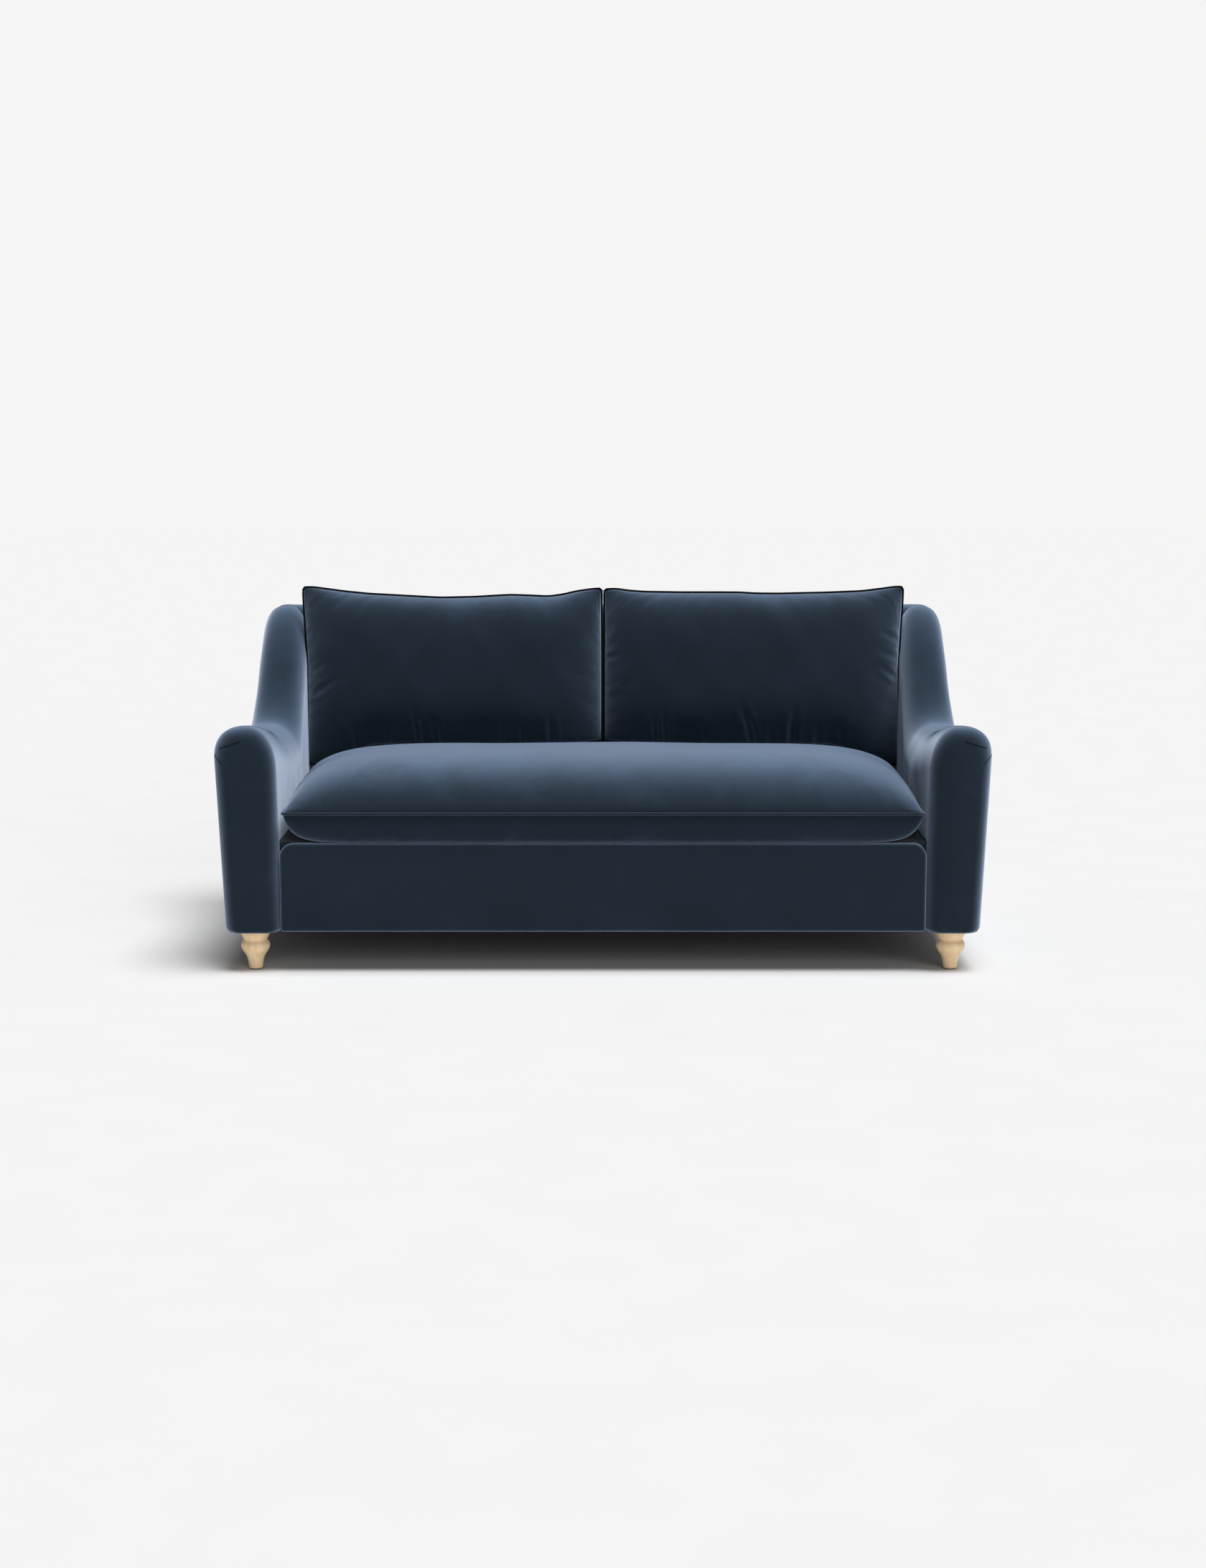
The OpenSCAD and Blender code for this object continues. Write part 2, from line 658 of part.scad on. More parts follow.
cushion_front = [for (v = cushion_vs) [for (u = cushion_us) cushion_point(u, v, -1)]];
cushion_rear = [for (v = cushion_vs) [for (u = cushion_us) cushion_point(u, v, 1)]];
fill_front = towards(cushion_seam, cushion_front, core_share);
fill_rear = towards(cushion_seam, cushion_rear, core_share);

module back_cushion_face() { color("#26364a") pillow(cushion_front, fill_front); }
module back_cushion_core() { color("#efe9dc") pillow(fill_front, fill_rear); }
module back_cushion_rear() { color("#26364a") pillow(fill_rear, cushion_rear); }

cushion_rim = rim([
    for (v = cushion_vs) [for (u = cushion_us)
        cushion_point(u, v, 0) + (cushion_piping_r + piping_gap) * [u, back_lean * v, v]
    ]
]);

module back_cushion_piping() { color("#111b29") piping(cushion_rim, cushion_piping_r); }

// ---- Zips ----------------------------------------------------------------------------------

zip_t = 1.6;
zip_w = 7;
zip_gap = 0.4;                            // clearance between a slider and the teeth
slider_t = 1.4;
slider_l = 14;

// The closed teeth of a zip, lying along X with their outer face at +Y
module zip_row(x0, x1) {
    color("#1b2430") block([x0, 0, -zip_w / 2], [x1, zip_t, zip_w / 2]);
}

// The slider grips the teeth from outside and carries its pull
module zip_runner(x) {
    inner_z = zip_w / 2 + zip_gap;
    outer_z = inner_z + slider_t;
    top = zip_t + zip_gap;
    color("#a9adb2") translate([x, 0, 0]) {
        block([0, top, -outer_z], [slider_l, top + slider_t, outer_z]);
        for (side = [-outer_z, inner_z]) block([0, 0, side], [slider_l, top, side + slider_t]);
        block([slider_l / 2, top + slider_t, -2.5], [slider_l + 20, top + slider_t + 1.2, 2.5]);
    }
}

module on_seat_rear() {
    translate([0, seat_rear_y + 2 * seat_piping_r, seat_seam(seat_rear_y)]) children();
}

module on_cushion_foot() {
    foot = cushion_foot_z - 2 * cushion_piping_r - piping_gap;
    translate([0, cushion_foot_y - back_lean * cushion_piping_r, foot]) rotate([-90, 0, 0]) children();
}

module seat_cushion_zip() { on_seat_rear() zip_row(-seat_zip_half, seat_zip_half); }
module seat_zip_slider() { on_seat_rear() zip_runner(-seat_zip_half + 6); }
module back_cushion_zip() { on_cushion_foot() zip_row(cushion_zip_x[0], cushion_zip_x[1]); }
module back_zip_slider() { on_cushion_foot() zip_runner(cushion_zip_x[0] + 6); }

// ---- Nodes ---------------------------------------------------------------------------------

leg(-leg_x, leg_front_y);  // leg_front_left
leg(leg_x, leg_front_y);  // leg_front_right
leg(-leg_x, leg_rear_y);  // leg_rear_left
leg(leg_x, leg_rear_y);  // leg_rear_right
leg_glides();
leg_hanger_bolts();
leg_tee_nuts();
leg_blocks();
front_seat_rail();
rear_seat_rail();
base_back_rail();
seat_stretchers();
glue_blocks();
mirror_left() arm_inner_ply();  // arm_inner_ply_left
arm_inner_ply();  // arm_inner_ply_right
mirror_left() arm_outer_ply();  // arm_outer_ply_left
arm_outer_ply();  // arm_outer_ply_right
arm_posts();
back_rib(rib_x[0]);  // back_rib_left
back_rib(rib_x[1]);  // back_rib_mid_left
back_rib(rib_x[2]);  // back_rib_mid_right
back_rib(rib_x[3]);  // back_rib_right
back_top_rail();
back_lumbar_rail();
back_webbing();
seat_springs();
spring_clips();
spring_tie_wires();
frame_screws();
seat_deck_pad();
front_border_pad();
inside_back_pad();
back_top_pad();
outside_back_panel();
mirror_left() arm_front_pad();  // arm_front_pad_left
arm_front_pad();  // arm_front_pad_right
mirror_left() arm_inner_pad();  // arm_inner_pad_left
arm_inner_pad();  // arm_inner_pad_right
mirror_left() arm_outer_panel();  // arm_outer_panel_left
arm_outer_panel();  // arm_outer_panel_right
dust_cover();
seat_cushion_top();
seat_cushion_base();
seat_cushion_core();
seat_cushion_piping();
seat_cushion_zip();
seat_zip_slider();
mirror_left() back_cushion_face();  // back_cushion_left_face
mirror_left() back_cushion_rear();  // back_cushion_left_rear
mirror_left() back_cushion_core();  // back_cushion_left_core
mirror_left() back_cushion_piping();  // back_cushion_left_piping
mirror_left() back_cushion_zip();  // back_cushion_left_zip
mirror_left() back_zip_slider();  // left_zip_slider
back_cushion_face();  // back_cushion_right_face
back_cushion_rear();  // back_cushion_right_rear
back_cushion_core();  // back_cushion_right_core
back_cushion_piping();  // back_cushion_right_piping
back_cushion_zip();  // back_cushion_right_zip
back_zip_slider();  // right_zip_slider
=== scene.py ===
import bpy
import json
import math
import numpy as np
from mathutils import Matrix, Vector


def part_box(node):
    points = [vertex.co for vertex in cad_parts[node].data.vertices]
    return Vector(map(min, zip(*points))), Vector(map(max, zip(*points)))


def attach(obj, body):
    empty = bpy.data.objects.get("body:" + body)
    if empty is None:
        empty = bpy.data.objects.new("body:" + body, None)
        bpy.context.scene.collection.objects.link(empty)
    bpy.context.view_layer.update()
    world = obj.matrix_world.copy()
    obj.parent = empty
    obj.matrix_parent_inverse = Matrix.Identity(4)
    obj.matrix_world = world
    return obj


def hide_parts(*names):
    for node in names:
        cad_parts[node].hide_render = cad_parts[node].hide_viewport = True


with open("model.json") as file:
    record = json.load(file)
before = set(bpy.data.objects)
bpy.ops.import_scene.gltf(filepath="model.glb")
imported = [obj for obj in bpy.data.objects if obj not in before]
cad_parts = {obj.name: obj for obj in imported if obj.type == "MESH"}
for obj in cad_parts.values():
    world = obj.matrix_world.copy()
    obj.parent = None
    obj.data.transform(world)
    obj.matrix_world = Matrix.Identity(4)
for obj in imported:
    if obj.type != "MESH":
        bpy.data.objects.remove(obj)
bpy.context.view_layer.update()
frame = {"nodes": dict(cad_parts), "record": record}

print("frame loaded:", len(frame["nodes"]), "nodes")


# Small tools
def hexColour(code):
    # sRGB hex to the linear colour that the shader works in
    parts = [int(code[i:i + 2], 16) / 255 for i in (1, 3, 5)]
    return tuple(c / 12.92 if c <= 0.04045 else ((c + 0.055) / 1.055) ** 2.4 for c in parts) + (1.0,)


def addNode(tree, kind, inputs={}, **settings):
    # adds a node; an input is given a value, or a socket to link
    node = tree.nodes.new(kind)
    for key, value in settings.items():
        setattr(node, key, value)
    for key, value in inputs.items():
        if isinstance(value, bpy.types.NodeSocket):
            tree.links.new(value, node.inputs[key])
        else:
            node.inputs[key].default_value = value
    return node


def newMaterial(name, **sockets):
    # a Principled material; sockets are set on the shader itself, with _ for a space
    material = bpy.data.materials.new(name)
    material.use_nodes = True
    shader = material.node_tree.nodes["Principled BSDF"]
    for key, value in sockets.items():
        shader.inputs[key.replace("_", " ")].default_value = value
    return material, material.node_tree, shader


def blend(tree, amount, first, second):
    # a colour between two others
    mixed = addNode(tree, "ShaderNodeMix", {0: amount, 6: first, 7: second}, data_type="RGBA")
    return mixed.outputs[2]


def addBump(tree, shader, height, strength, distance):
    bump = addNode(tree, "ShaderNodeBump", {"Height": height, "Strength": strength, "Distance": distance})
    tree.links.new(bump.outputs["Normal"], shader.inputs["Normal"])


def smooth(t):
    c = np.clip(t, 0, 1)
    return c * c * (3 - 2 * c)


def mix(a, b, t):
    return a + (b - a) * t


def gridFaces(rows, cols, joined=False):
    # quads of a grid whose rows follow each other; joined closes each row on itself
    faces = []
    for r in range(rows - 1):
        for c in range(cols if joined else cols - 1):
            d = (c + 1) % cols
            faces.append((r * cols + c, r * cols + d, (r + 1) * cols + d, (r + 1) * cols + c))
    return faces


def makePiece(name, points, faces, material, body="sofa_frame"):
    mesh = bpy.data.meshes.new(name)
    mesh.from_pydata([tuple(map(float, p)) for p in points], [], faces)
    mesh.validate()
    mesh.update()
    piece = bpy.data.objects.new(name, mesh)
    bpy.context.scene.collection.objects.link(piece)
    mesh.polygons.foreach_set("use_smooth", [True] * len(mesh.polygons))
    mesh.materials.append(material)
    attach(piece, body)
    return piece


def applyModifiers(piece):
    # bakes what the modifiers make into the mesh
    graph = bpy.context.evaluated_depsgraph_get()
    made = bpy.data.meshes.new_from_object(piece.evaluated_get(graph))
    piece.modifiers.clear()
    piece.data = made


def tubeAlong(line, radius, sides=10, closed=True):
    # points and faces of a cord that follows a line of points
    line = np.asarray(line, float)
    n = len(line)
    if closed:
        tangent = np.roll(line, -1, axis=0) - np.roll(line, 1, axis=0)
    else:
        tangent = np.gradient(line, axis=0)
    tangent /= np.linalg.norm(tangent, axis=1)[:, None]
    side = np.cross(tangent, [0.13, 0.31, 0.94])
    side /= np.linalg.norm(side, axis=1)[:, None]
    up = np.cross(side, tangent)
    angle = np.linspace(0, 2 * np.pi, sides, endpoint=False)
    ring = np.cos(angle)[None, :, None] * side[:, None] + np.sin(angle)[None, :, None] * up[:, None]
    points = (line[:, None] + radius * ring).reshape(-1, 3)
    faces = [f[::-1] for f in gridFaces(n, sides, joined=True)]
    if closed:
        last = (n - 1) * sides
        for k in range(sides):
            d = (k + 1) % sides
            faces.append((k, d, last + d, last + k))
    else:
        faces += [tuple(range(sides)), tuple((n - 1) * sides + k for k in reversed(range(sides)))]
    return points, faces


def softBox(low, high, radius, cell, crown=0.0, axis=1):
    # a box with rounded edges; crown swells its two faces along axis
    low, high = np.array(low, float), np.array(high, float)
    half, centre = (high - low) / 2, (high + low) / 2
    radius = min(radius, half.min() * 0.98)
    rings = []
    for h in half:
        steps = max(1, round(2 * (h - radius) / cell))
        edge = radius * np.tan(np.linspace(math.pi / 4, 0, 5))[:-1]
        flatRun = np.linspace(radius - h, h - radius, steps + 1)
        rings.append(np.concatenate([-(h - radius) - edge, flatRun, (h - radius) + edge[::-1]]))
    points, faces = [], []
    for a in range(3):
        b, c = (a + 1) % 3, (a + 2) % 3
        for sign in (-1, 1):
            first = len(points)
            rows, cols = len(rings[b]), len(rings[c])
            for gb in rings[b]:
                for gc in rings[c]:
                    p = [0, 0, 0]
                    p[a], p[b], p[c] = sign * half[a], gb, gc
                    points.append(p)
            for f in gridFaces(rows, cols):
                f = tuple(first + i for i in f)
                faces.append(f[::-1] if sign > 0 else f)
    points = np.array(points)
    points, where = np.unique(np.round(points, 6), axis=0, return_inverse=True)
    where = where.reshape(-1)
    faces = [tuple(int(where[i]) for i in f) for f in faces]
    core = np.clip(points, -(half - radius), half - radius)
    away = points - core
    reach = np.linalg.norm(away, axis=1)
    out = np.where(reach[:, None] > 1e-9, core + radius * away / np.maximum(reach, 1e-9)[:, None], points)
    others = [k for k in range(3) if k != axis]
    lift = np.ones(len(out))
    for k in others:
        lift *= np.maximum(0, 1 - np.abs(out[:, k] / half[k]) ** 4)
    out[:, axis] += np.sign(out[:, axis]) * crown * lift
    return out + centre, faces


def waves(x, y, spots):
    # gentle uneven swell: spots are (amplitude, length across, length along, phase)
    total = 0 * x
    for amount, lengthX, lengthY, phase in spots:
        along = np.cos(2 * np.pi * y / lengthY + 1.7 * phase)
        total = total + amount * np.sin(2 * np.pi * x / lengthX + phase) * along
    return total


# Materials

# Cotton velvet: cut pile on a woven backing. The upright pile swallows light that meets it
# head on and glows pale where it is seen from the side, so folds and edges read light; that glow is painted
# sheen in the base colour, over the shader's own sheen.
# deep: colour where the surface faces the camera; paintedSheen: painted sheen where it turns away; rim:
# painted darker edge at the silhouette
velvetLook = {
    "deep": "#12202b", "paintedSheen": "#50657f", "glow": "#c4d1e6", "rim": "#1c2937",
    "pileMm": 1.6, "brushMm": 160.0, "brushed": (-0.03, 0.055), "tufts": (-0.05, 0.05),
    "roughness": 0.85, "sheenRoughness": 0.42, "sheen": 1.0, "rimSheen": 0.2,
    "turn": 0.84, "rimTurn": (0.74, 0.93), "relief": 0.18, "reliefM": 0.0006,
}


def velvetMaterial(name, look):
    material, tree, shader = newMaterial(
        name, Roughness=look["roughness"], Sheen_Roughness=look["sheenRoughness"],
        Sheen_Tint=hexColour(look["glow"]), Specular_IOR_Level=0.12)
    place = addNode(tree, "ShaderNodeTexCoord").outputs["Object"]
    # the pile leans this way and that in broad soft patches, as a hand has brushed it, and the patches shift
    # where the painted sheen begins
    brushed = addNode(tree, "ShaderNodeTexNoise", {
        "Vector": place, "Scale": 1000 / look["brushMm"], "Detail": 3.0, "Roughness": 0.5,
        "Distortion": 0.4})
    # tufts are far finer than this; drawn as coarse as they need to show
    tufts = addNode(tree, "ShaderNodeTexNoise", {
        "Vector": place, "Scale": 1000 / look["pileMm"], "Detail": 2.0, "Roughness": 0.7})
    facing = addNode(tree, "ShaderNodeLayerWeight", {"Blend": 0.35}).outputs["Facing"]
    patch = addNode(tree, "ShaderNodeMapRange", {
        "Value": brushed.outputs["Fac"], "From Min": 0.35, "From Max": 0.68,
        "To Min": look["brushed"][0], "To Max": look["brushed"][1]})
    grain = addNode(tree, "ShaderNodeMapRange", {
        "Value": tufts.outputs["Fac"], "From Min": 0.3, "From Max": 0.7,
        "To Min": look["tufts"][0], "To Max": look["tufts"][1]})
    # brushed patches and tufts push the painted sheen up and down
    lean = addNode(tree, "ShaderNodeMath", {
        0: patch.outputs["Result"], 1: grain.outputs["Result"]}, operation="ADD")
    amount = addNode(tree, "ShaderNodeMath", {
        0: facing, 1: lean.outputs[0]}, operation="ADD", use_clamp=True)
    # painted sheen: the base colour runs from deep, where the surface faces the camera, to the pale painted
    # sheen where it turns away
    pile = addNode(tree, "ShaderNodeValToRGB", {"Fac": amount.outputs[0]})
    pile.color_ramp.interpolation = "EASE"
    pile.color_ramp.elements[0].color = hexColour(look["deep"])
    pile.color_ramp.elements[1].color = hexColour(look["paintedSheen"])
    pile.color_ramp.elements[1].position = look["turn"]
    # painted rim shade: right at the edge the base colour darkens again
    pile.color_ramp.elements.new(1.0).color = hexColour(look["rim"])
    tree.links.new(pile.outputs["Color"], shader.inputs["Base Color"])
    # right at an edge the tufts hide behind each other, and the glow falls away again
    glow = addNode(tree, "ShaderNodeMapRange", {
        "Value": facing, "From Min": look["rimTurn"][0], "From Max": look["rimTurn"][1],
        "To Min": look["sheen"], "To Max": look["sheen"] * look["rimSheen"]})
    tree.links.new(glow.outputs["Result"], shader.inputs["Sheen Weight"])
    addBump(tree, shader, tufts.outputs["Fac"], look["relief"], look["reliefM"])
    return material


velvet = velvetMaterial("cotton_velvet_cut_pile", velvetLook)
# painted shade: a near-black copy of the velvet with no sheen, used for piping and seam cords to stand in
# for the shade around them
shadedVelvetCord = velvetMaterial("velvet_cord_painted_shade", dict(
    velvetLook, deep="#060a10", paintedSheen="#060a10", rim="#060a10", sheen=0.0))
# painted shade: the seat piping is the same velvet, given a darker deep colour and a weaker painted sheen
shadedVelvetBand = velvetMaterial("velvet_self_piping_shaded", dict(velvetLook, deep="#121d28", paintedSheen="#2b3b4e"))

# Pale beech, turned on a lathe and lacquered satin: close, straight grain with short dark flecks
beechLook = {
    "pale": "#fae0b8", "dark": "#eac693", "fleck": "#c49a6a",
    "grainMm": 2.2, "fleckMm": 5.0, "broadScale": 55.0,
}


def beechMaterial(look):
    material, tree, shader = newMaterial(
        "lacquered_beech_turned", Roughness=0.42, Coat_Weight=0.25, Coat_Roughness=0.25)
    place = addNode(tree, "ShaderNodeTexCoord").outputs["Object"]
    # grain runs up the leg, so the pattern is stretched along Z
    along = addNode(tree, "ShaderNodeMapping", {
        "Vector": place, "Scale": (1.0, 1.0, 0.07)}).outputs["Vector"]
    grain = addNode(tree, "ShaderNodeTexNoise", {
        "Vector": along, "Scale": 1000 / look["grainMm"], "Detail": 4.0, "Roughness": 0.6})
    broad = addNode(tree, "ShaderNodeTexNoise", {
        "Vector": along, "Scale": look["broadScale"], "Detail": 2.0, "Distortion": 0.6})
    both = addNode(tree, "ShaderNodeMix", {0: 0.5, 2: grain.outputs["Fac"], 3: broad.outputs["Fac"]})
    tone = addNode(tree, "ShaderNodeMapRange", {
        "Value": both.outputs[0], "From Min": 0.36, "From Max": 0.66})
    wood = blend(tree, tone.outputs["Result"], hexColour(look["pale"]), hexColour(look["dark"]))
    flecks = addNode(tree, "ShaderNodeTexVoronoi", {"Vector": along, "Scale": 1000 / look["fleckMm"]})
    spot = addNode(tree, "ShaderNodeMapRange", {
        "Value": flecks.outputs["Distance"], "From Min": 0.05, "From Max": 0.16,
        "To Min": 0.5, "To Max": 0.0})
    colour = blend(tree, spot.outputs["Result"], wood, hexColour(look["fleck"]))
    tree.links.new(colour, shader.inputs["Base Color"])
    addBump(tree, shader, grain.outputs["Fac"], 0.08, 0.0004)
    return material


# Sawn softwood rails: broad growth rings, saw marks across, dry and matt
timberLook = {"early": "#d9bc8a", "late": "#b98d57", "ringMm": 9.0, "sawMm": 3.0}


def timberMaterial(look):
    material, tree, shader = newMaterial("sawn_softwood", Roughness=0.8, Specular_IOR_Level=0.3)
    place = addNode(tree, "ShaderNodeTexCoord").outputs["Object"]
    along = addNode(tree, "ShaderNodeMapping", {
        "Vector": place, "Scale": (0.06, 1.0, 1.0)}).outputs["Vector"]
    rings = addNode(tree, "ShaderNodeTexWave", {
        "Vector": along, "Scale": 1000 / look["ringMm"] / 20, "Distortion": 5.0, "Detail": 3.0,
        "Detail Scale": 1.5}, wave_type="RINGS", rings_direction="X")
    colour = blend(tree, rings.outputs["Fac"], hexColour(look["early"]), hexColour(look["late"]))
    tree.links.new(colour, shader.inputs["Base Color"])
    saw = addNode(tree, "ShaderNodeTexNoise", {
        "Vector": place, "Scale": 1000 / look["sawMm"], "Detail": 3.0})
    addBump(tree, shader, saw.outputs["Fac"], 0.3, 0.0008)
    return material


# Birch plywood: pale rotary-cut face with wandering figure, sanded smooth
plyLook = {"face": "#dcc195", "figure": "#c29c68", "figureMm": 40.0, "poreMm": 1.5}


def plyMaterial(look):
    material, tree, shader = newMaterial("birch_plywood", Roughness=0.65, Specular_IOR_Level=0.35)
    place = addNode(tree, "ShaderNodeTexCoord").outputs["Object"]
    along = addNode(tree, "ShaderNodeMapping", {
        "Vector": place, "Scale": (1.0, 0.18, 1.0)}).outputs["Vector"]
    figure = addNode(tree, "ShaderNodeTexNoise", {
        "Vector": along, "Scale": 1000 / look["figureMm"], "Detail": 5.0, "Distortion": 1.2})
    tone = addNode(tree, "ShaderNodeMapRange", {
        "Value": figure.outputs["Fac"], "From Min": 0.4, "From Max": 0.62})
    colour = blend(tree, tone.outputs["Result"], hexColour(look["face"]), hexColour(look["figure"]))
    tree.links.new(colour, shader.inputs["Base Color"])
    pores = addNode(tree, "ShaderNodeTexNoise", {
        "Vector": along, "Scale": 1000 / look["poreMm"], "Detail": 2.0})
    addBump(tree, shader, pores.outputs["Fac"], 0.12, 0.0003)
    return material


# Woven cloths: two sets of threads that cross, seen as a small raised check
def wovenMaterial(name, light, dark, threadMm, roughness=0.9):
    material, tree, shader = newMaterial(
        name, Roughness=roughness, Sheen_Weight=0.15, Specular_IOR_Level=0.2)
    place = addNode(tree, "ShaderNodeTexCoord").outputs["Object"]
    threads = {"Vector": place, "Scale": 1000 / threadMm / 2 / 3.14, "Distortion": 0.4}
    warp = addNode(tree, "ShaderNodeTexWave", threads, bands_direction="X")
    weft = addNode(tree, "ShaderNodeTexWave", threads, bands_direction="DIAGONAL")
    cross = addNode(tree, "ShaderNodeMath", {
        0: warp.outputs["Fac"], 1: weft.outputs["Fac"]}, operation="MAXIMUM")
    colour = blend(tree, cross.outputs[0], hexColour(dark), hexColour(light))
    tree.links.new(colour, shader.inputs["Base Color"])
    addBump(tree, shader, cross.outputs[0], 0.35, 0.0005)
    return material


# Metals: thin plating or oiled wire, with fine draw marks and a little dullness from handling
def metalMaterial(name, bright, dull, roughness, markMm):
    material, tree, shader = newMaterial(name, Metallic=1.0)
    place = addNode(tree, "ShaderNodeTexCoord").outputs["Object"]
    marks = addNode(tree, "ShaderNodeTexNoise", {
        "Vector": place, "Scale": 1000 / markMm, "Detail": 4.0, "Roughness": 0.6})
    colour = blend(tree, marks.outputs["Fac"], hexColour(bright), hexColour(dull))
    rough = addNode(tree, "ShaderNodeMapRange", {
        "Value": marks.outputs["Fac"], "To Min": roughness - 0.1, "To Max": roughness + 0.12})
    tree.links.new(colour, shader.inputs["Base Color"])
    tree.links.new(rough.outputs["Result"], shader.inputs["Roughness"])
    return material


# Moulded plastics: even colour with a faint orange-peel skin from the mould
def plasticMaterial(name, base, edge, roughness, peelMm):
    material, tree, shader = newMaterial(name, Roughness=roughness, IOR=1.49)
    place = addNode(tree, "ShaderNodeTexCoord").outputs["Object"]
    peel = addNode(tree, "ShaderNodeTexNoise", {"Vector": place, "Scale": 1000 / peelMm, "Detail": 2.0})
    colour = blend(tree, peel.outputs["Fac"], hexColour(base), hexColour(edge))
    tree.links.new(colour, shader.inputs["Base Color"])
    addBump(tree, shader, peel.outputs["Fac"], 0.15, 0.0002)
    return material


deckCloth = wovenMaterial("deck_twill_cotton", "#2b3542", "#141b24", 2.4)
dustCloth = wovenMaterial("spunbond_polypropylene", "#1c1c1e", "#0d0d0e", 3.2)
finishes = {
    "leg_beech": beechMaterial(beechLook),
    "frame_timber": timberMaterial(timberLook),
    "frame_ply": plyMaterial(plyLook),
    "webbing": wovenMaterial("elastic_webbing_rubber_polyester", "#6d6d70", "#2a2a2c", 3.0, 0.75),
    "glide_felt": plasticMaterial("nylon_glide_moulded", "#101010", "#1b1b1b", 0.55, 1.2),
    "zinc_steel": metalMaterial("zinc_plated_steel", "#c7cbd1", "#9da2a9", 0.38, 3.0),
    "spring_steel": metalMaterial("oiled_spring_wire", "#7d8186", "#4d5054", 0.45, 2.0),
    "yellow_zinc": metalMaterial("yellow_passivated_screw", "#d9bd6a", "#b3914a", 0.36, 1.5),
    "zip_teeth": plasticMaterial("nylon_coil_zip", "#151c26", "#202a38", 0.5, 0.8),
    "zip_metal": metalMaterial("nickel_plated_zinc_slider", "#b9bbbf", "#8f9196", 0.3, 1.0),
}
plainSlots = {row["node"]: row["material_slot"] for row in frame["record"]["subparts"]}
for nodeName, node in frame["nodes"].items():
    finish = finishes.get(plainSlots.get(nodeName))
    if finish:
        node.data.materials.clear()
        node.data.materials.append(finish)
print("materials made")


# Arms: one sleeve of padding and velvet over each timber frame

arm = {
    "outerX": 0.895, "innerX": 0.761, "crestX": 0.841, "baseZ": 0.097, "deckZ": 0.309,
    "frontY": -0.480, "roundDepth": 0.042, "roundIn": 0.034, "rearY": 0.462,
    "frontTop": 0.583, "dip": 0.042, "backTop": 0.815, "shoulderOut": 0.074, "shoulderIn": 0.113,
    "dipY": -0.44, "dipRun": 0.32, "riseY": -0.02, "riseRun": 0.37, "outerPower": 2.5, "innerPower": 2.2,
    "lean": 0.020, "leanRun": 0.42, "leanTopZ": 0.563, "uprightY": -0.2, "uprightRun": 0.4,
    "innerLean": 0.02, "thin": 0.005, "thinY": 0.02, "thinRun": 0.16,
    "hemDepth": 0.005, "hemHeight": 0.0045,
    "step": 0.0065, "thickness": 0.011, "crown": 0.003, "capDrop": 0.06, "capLean": 0.010,
    "seamAngle": 5.9, "seamDepth": 0.0022, "seamWidth": 0.0034, "metresPerDegree": 0.0021,
    "swells": [(0.0011, 0.31, 0.27, 0.4), (0.0008, 0.17, 0.21, 2.1)],
    # the front panel's upper seam, from the outside wall to where it ends on the panel
    "frontSeamX": (0.897, 0.846), "frontSeamZ": (0.536, 0.553),
}
roll = {
    "frontY": 0.340, "rearY": 0.477, "footZ": 0.741, "topZ": 0.815, "power": 2.6, "clear": 0.003,
    "swells": [(0.0012, 0.43, 0.5, 0.7), (0.0007, 0.19, 0.3, 2.9)],
}
rollMiddle, rollHalf = (roll["frontY"] + roll["rearY"]) / 2, (roll["rearY"] - roll["frontY"]) / 2


def rollTop(y):
    # height of the roll along the top of the back, at depth y
    t = np.clip(np.abs(y - rollMiddle) / rollHalf, 0, 1)
    return roll["footZ"] + (roll["topZ"] - roll["footZ"]) * (1 - t ** roll["power"]) ** (1 / roll["power"])


def armCrest(y):
    # behind the front the crest dips a little, then it sweeps up into the back
    rise = arm["backTop"] - arm["frontTop"] + arm["dip"]
    dipped = arm["dip"] * smooth((y - arm["dipY"]) / arm["dipRun"])
    z = arm["frontTop"] - dipped + rise * smooth((y - arm["riseY"]) / arm["riseRun"])
    if y > rollMiddle:
        z = min(z, float(rollTop(y)) - roll["clear"])
    return z


def armDrawnIn(y):
    # how far the front edge has rounded in at depth y
    t = (arm["frontY"] + arm["roundDepth"] - y) / arm["roundDepth"]
    return 0.0 if t <= 0 else arm["roundIn"] * (1 - math.sqrt(max(0.0, 1 - t * t)))


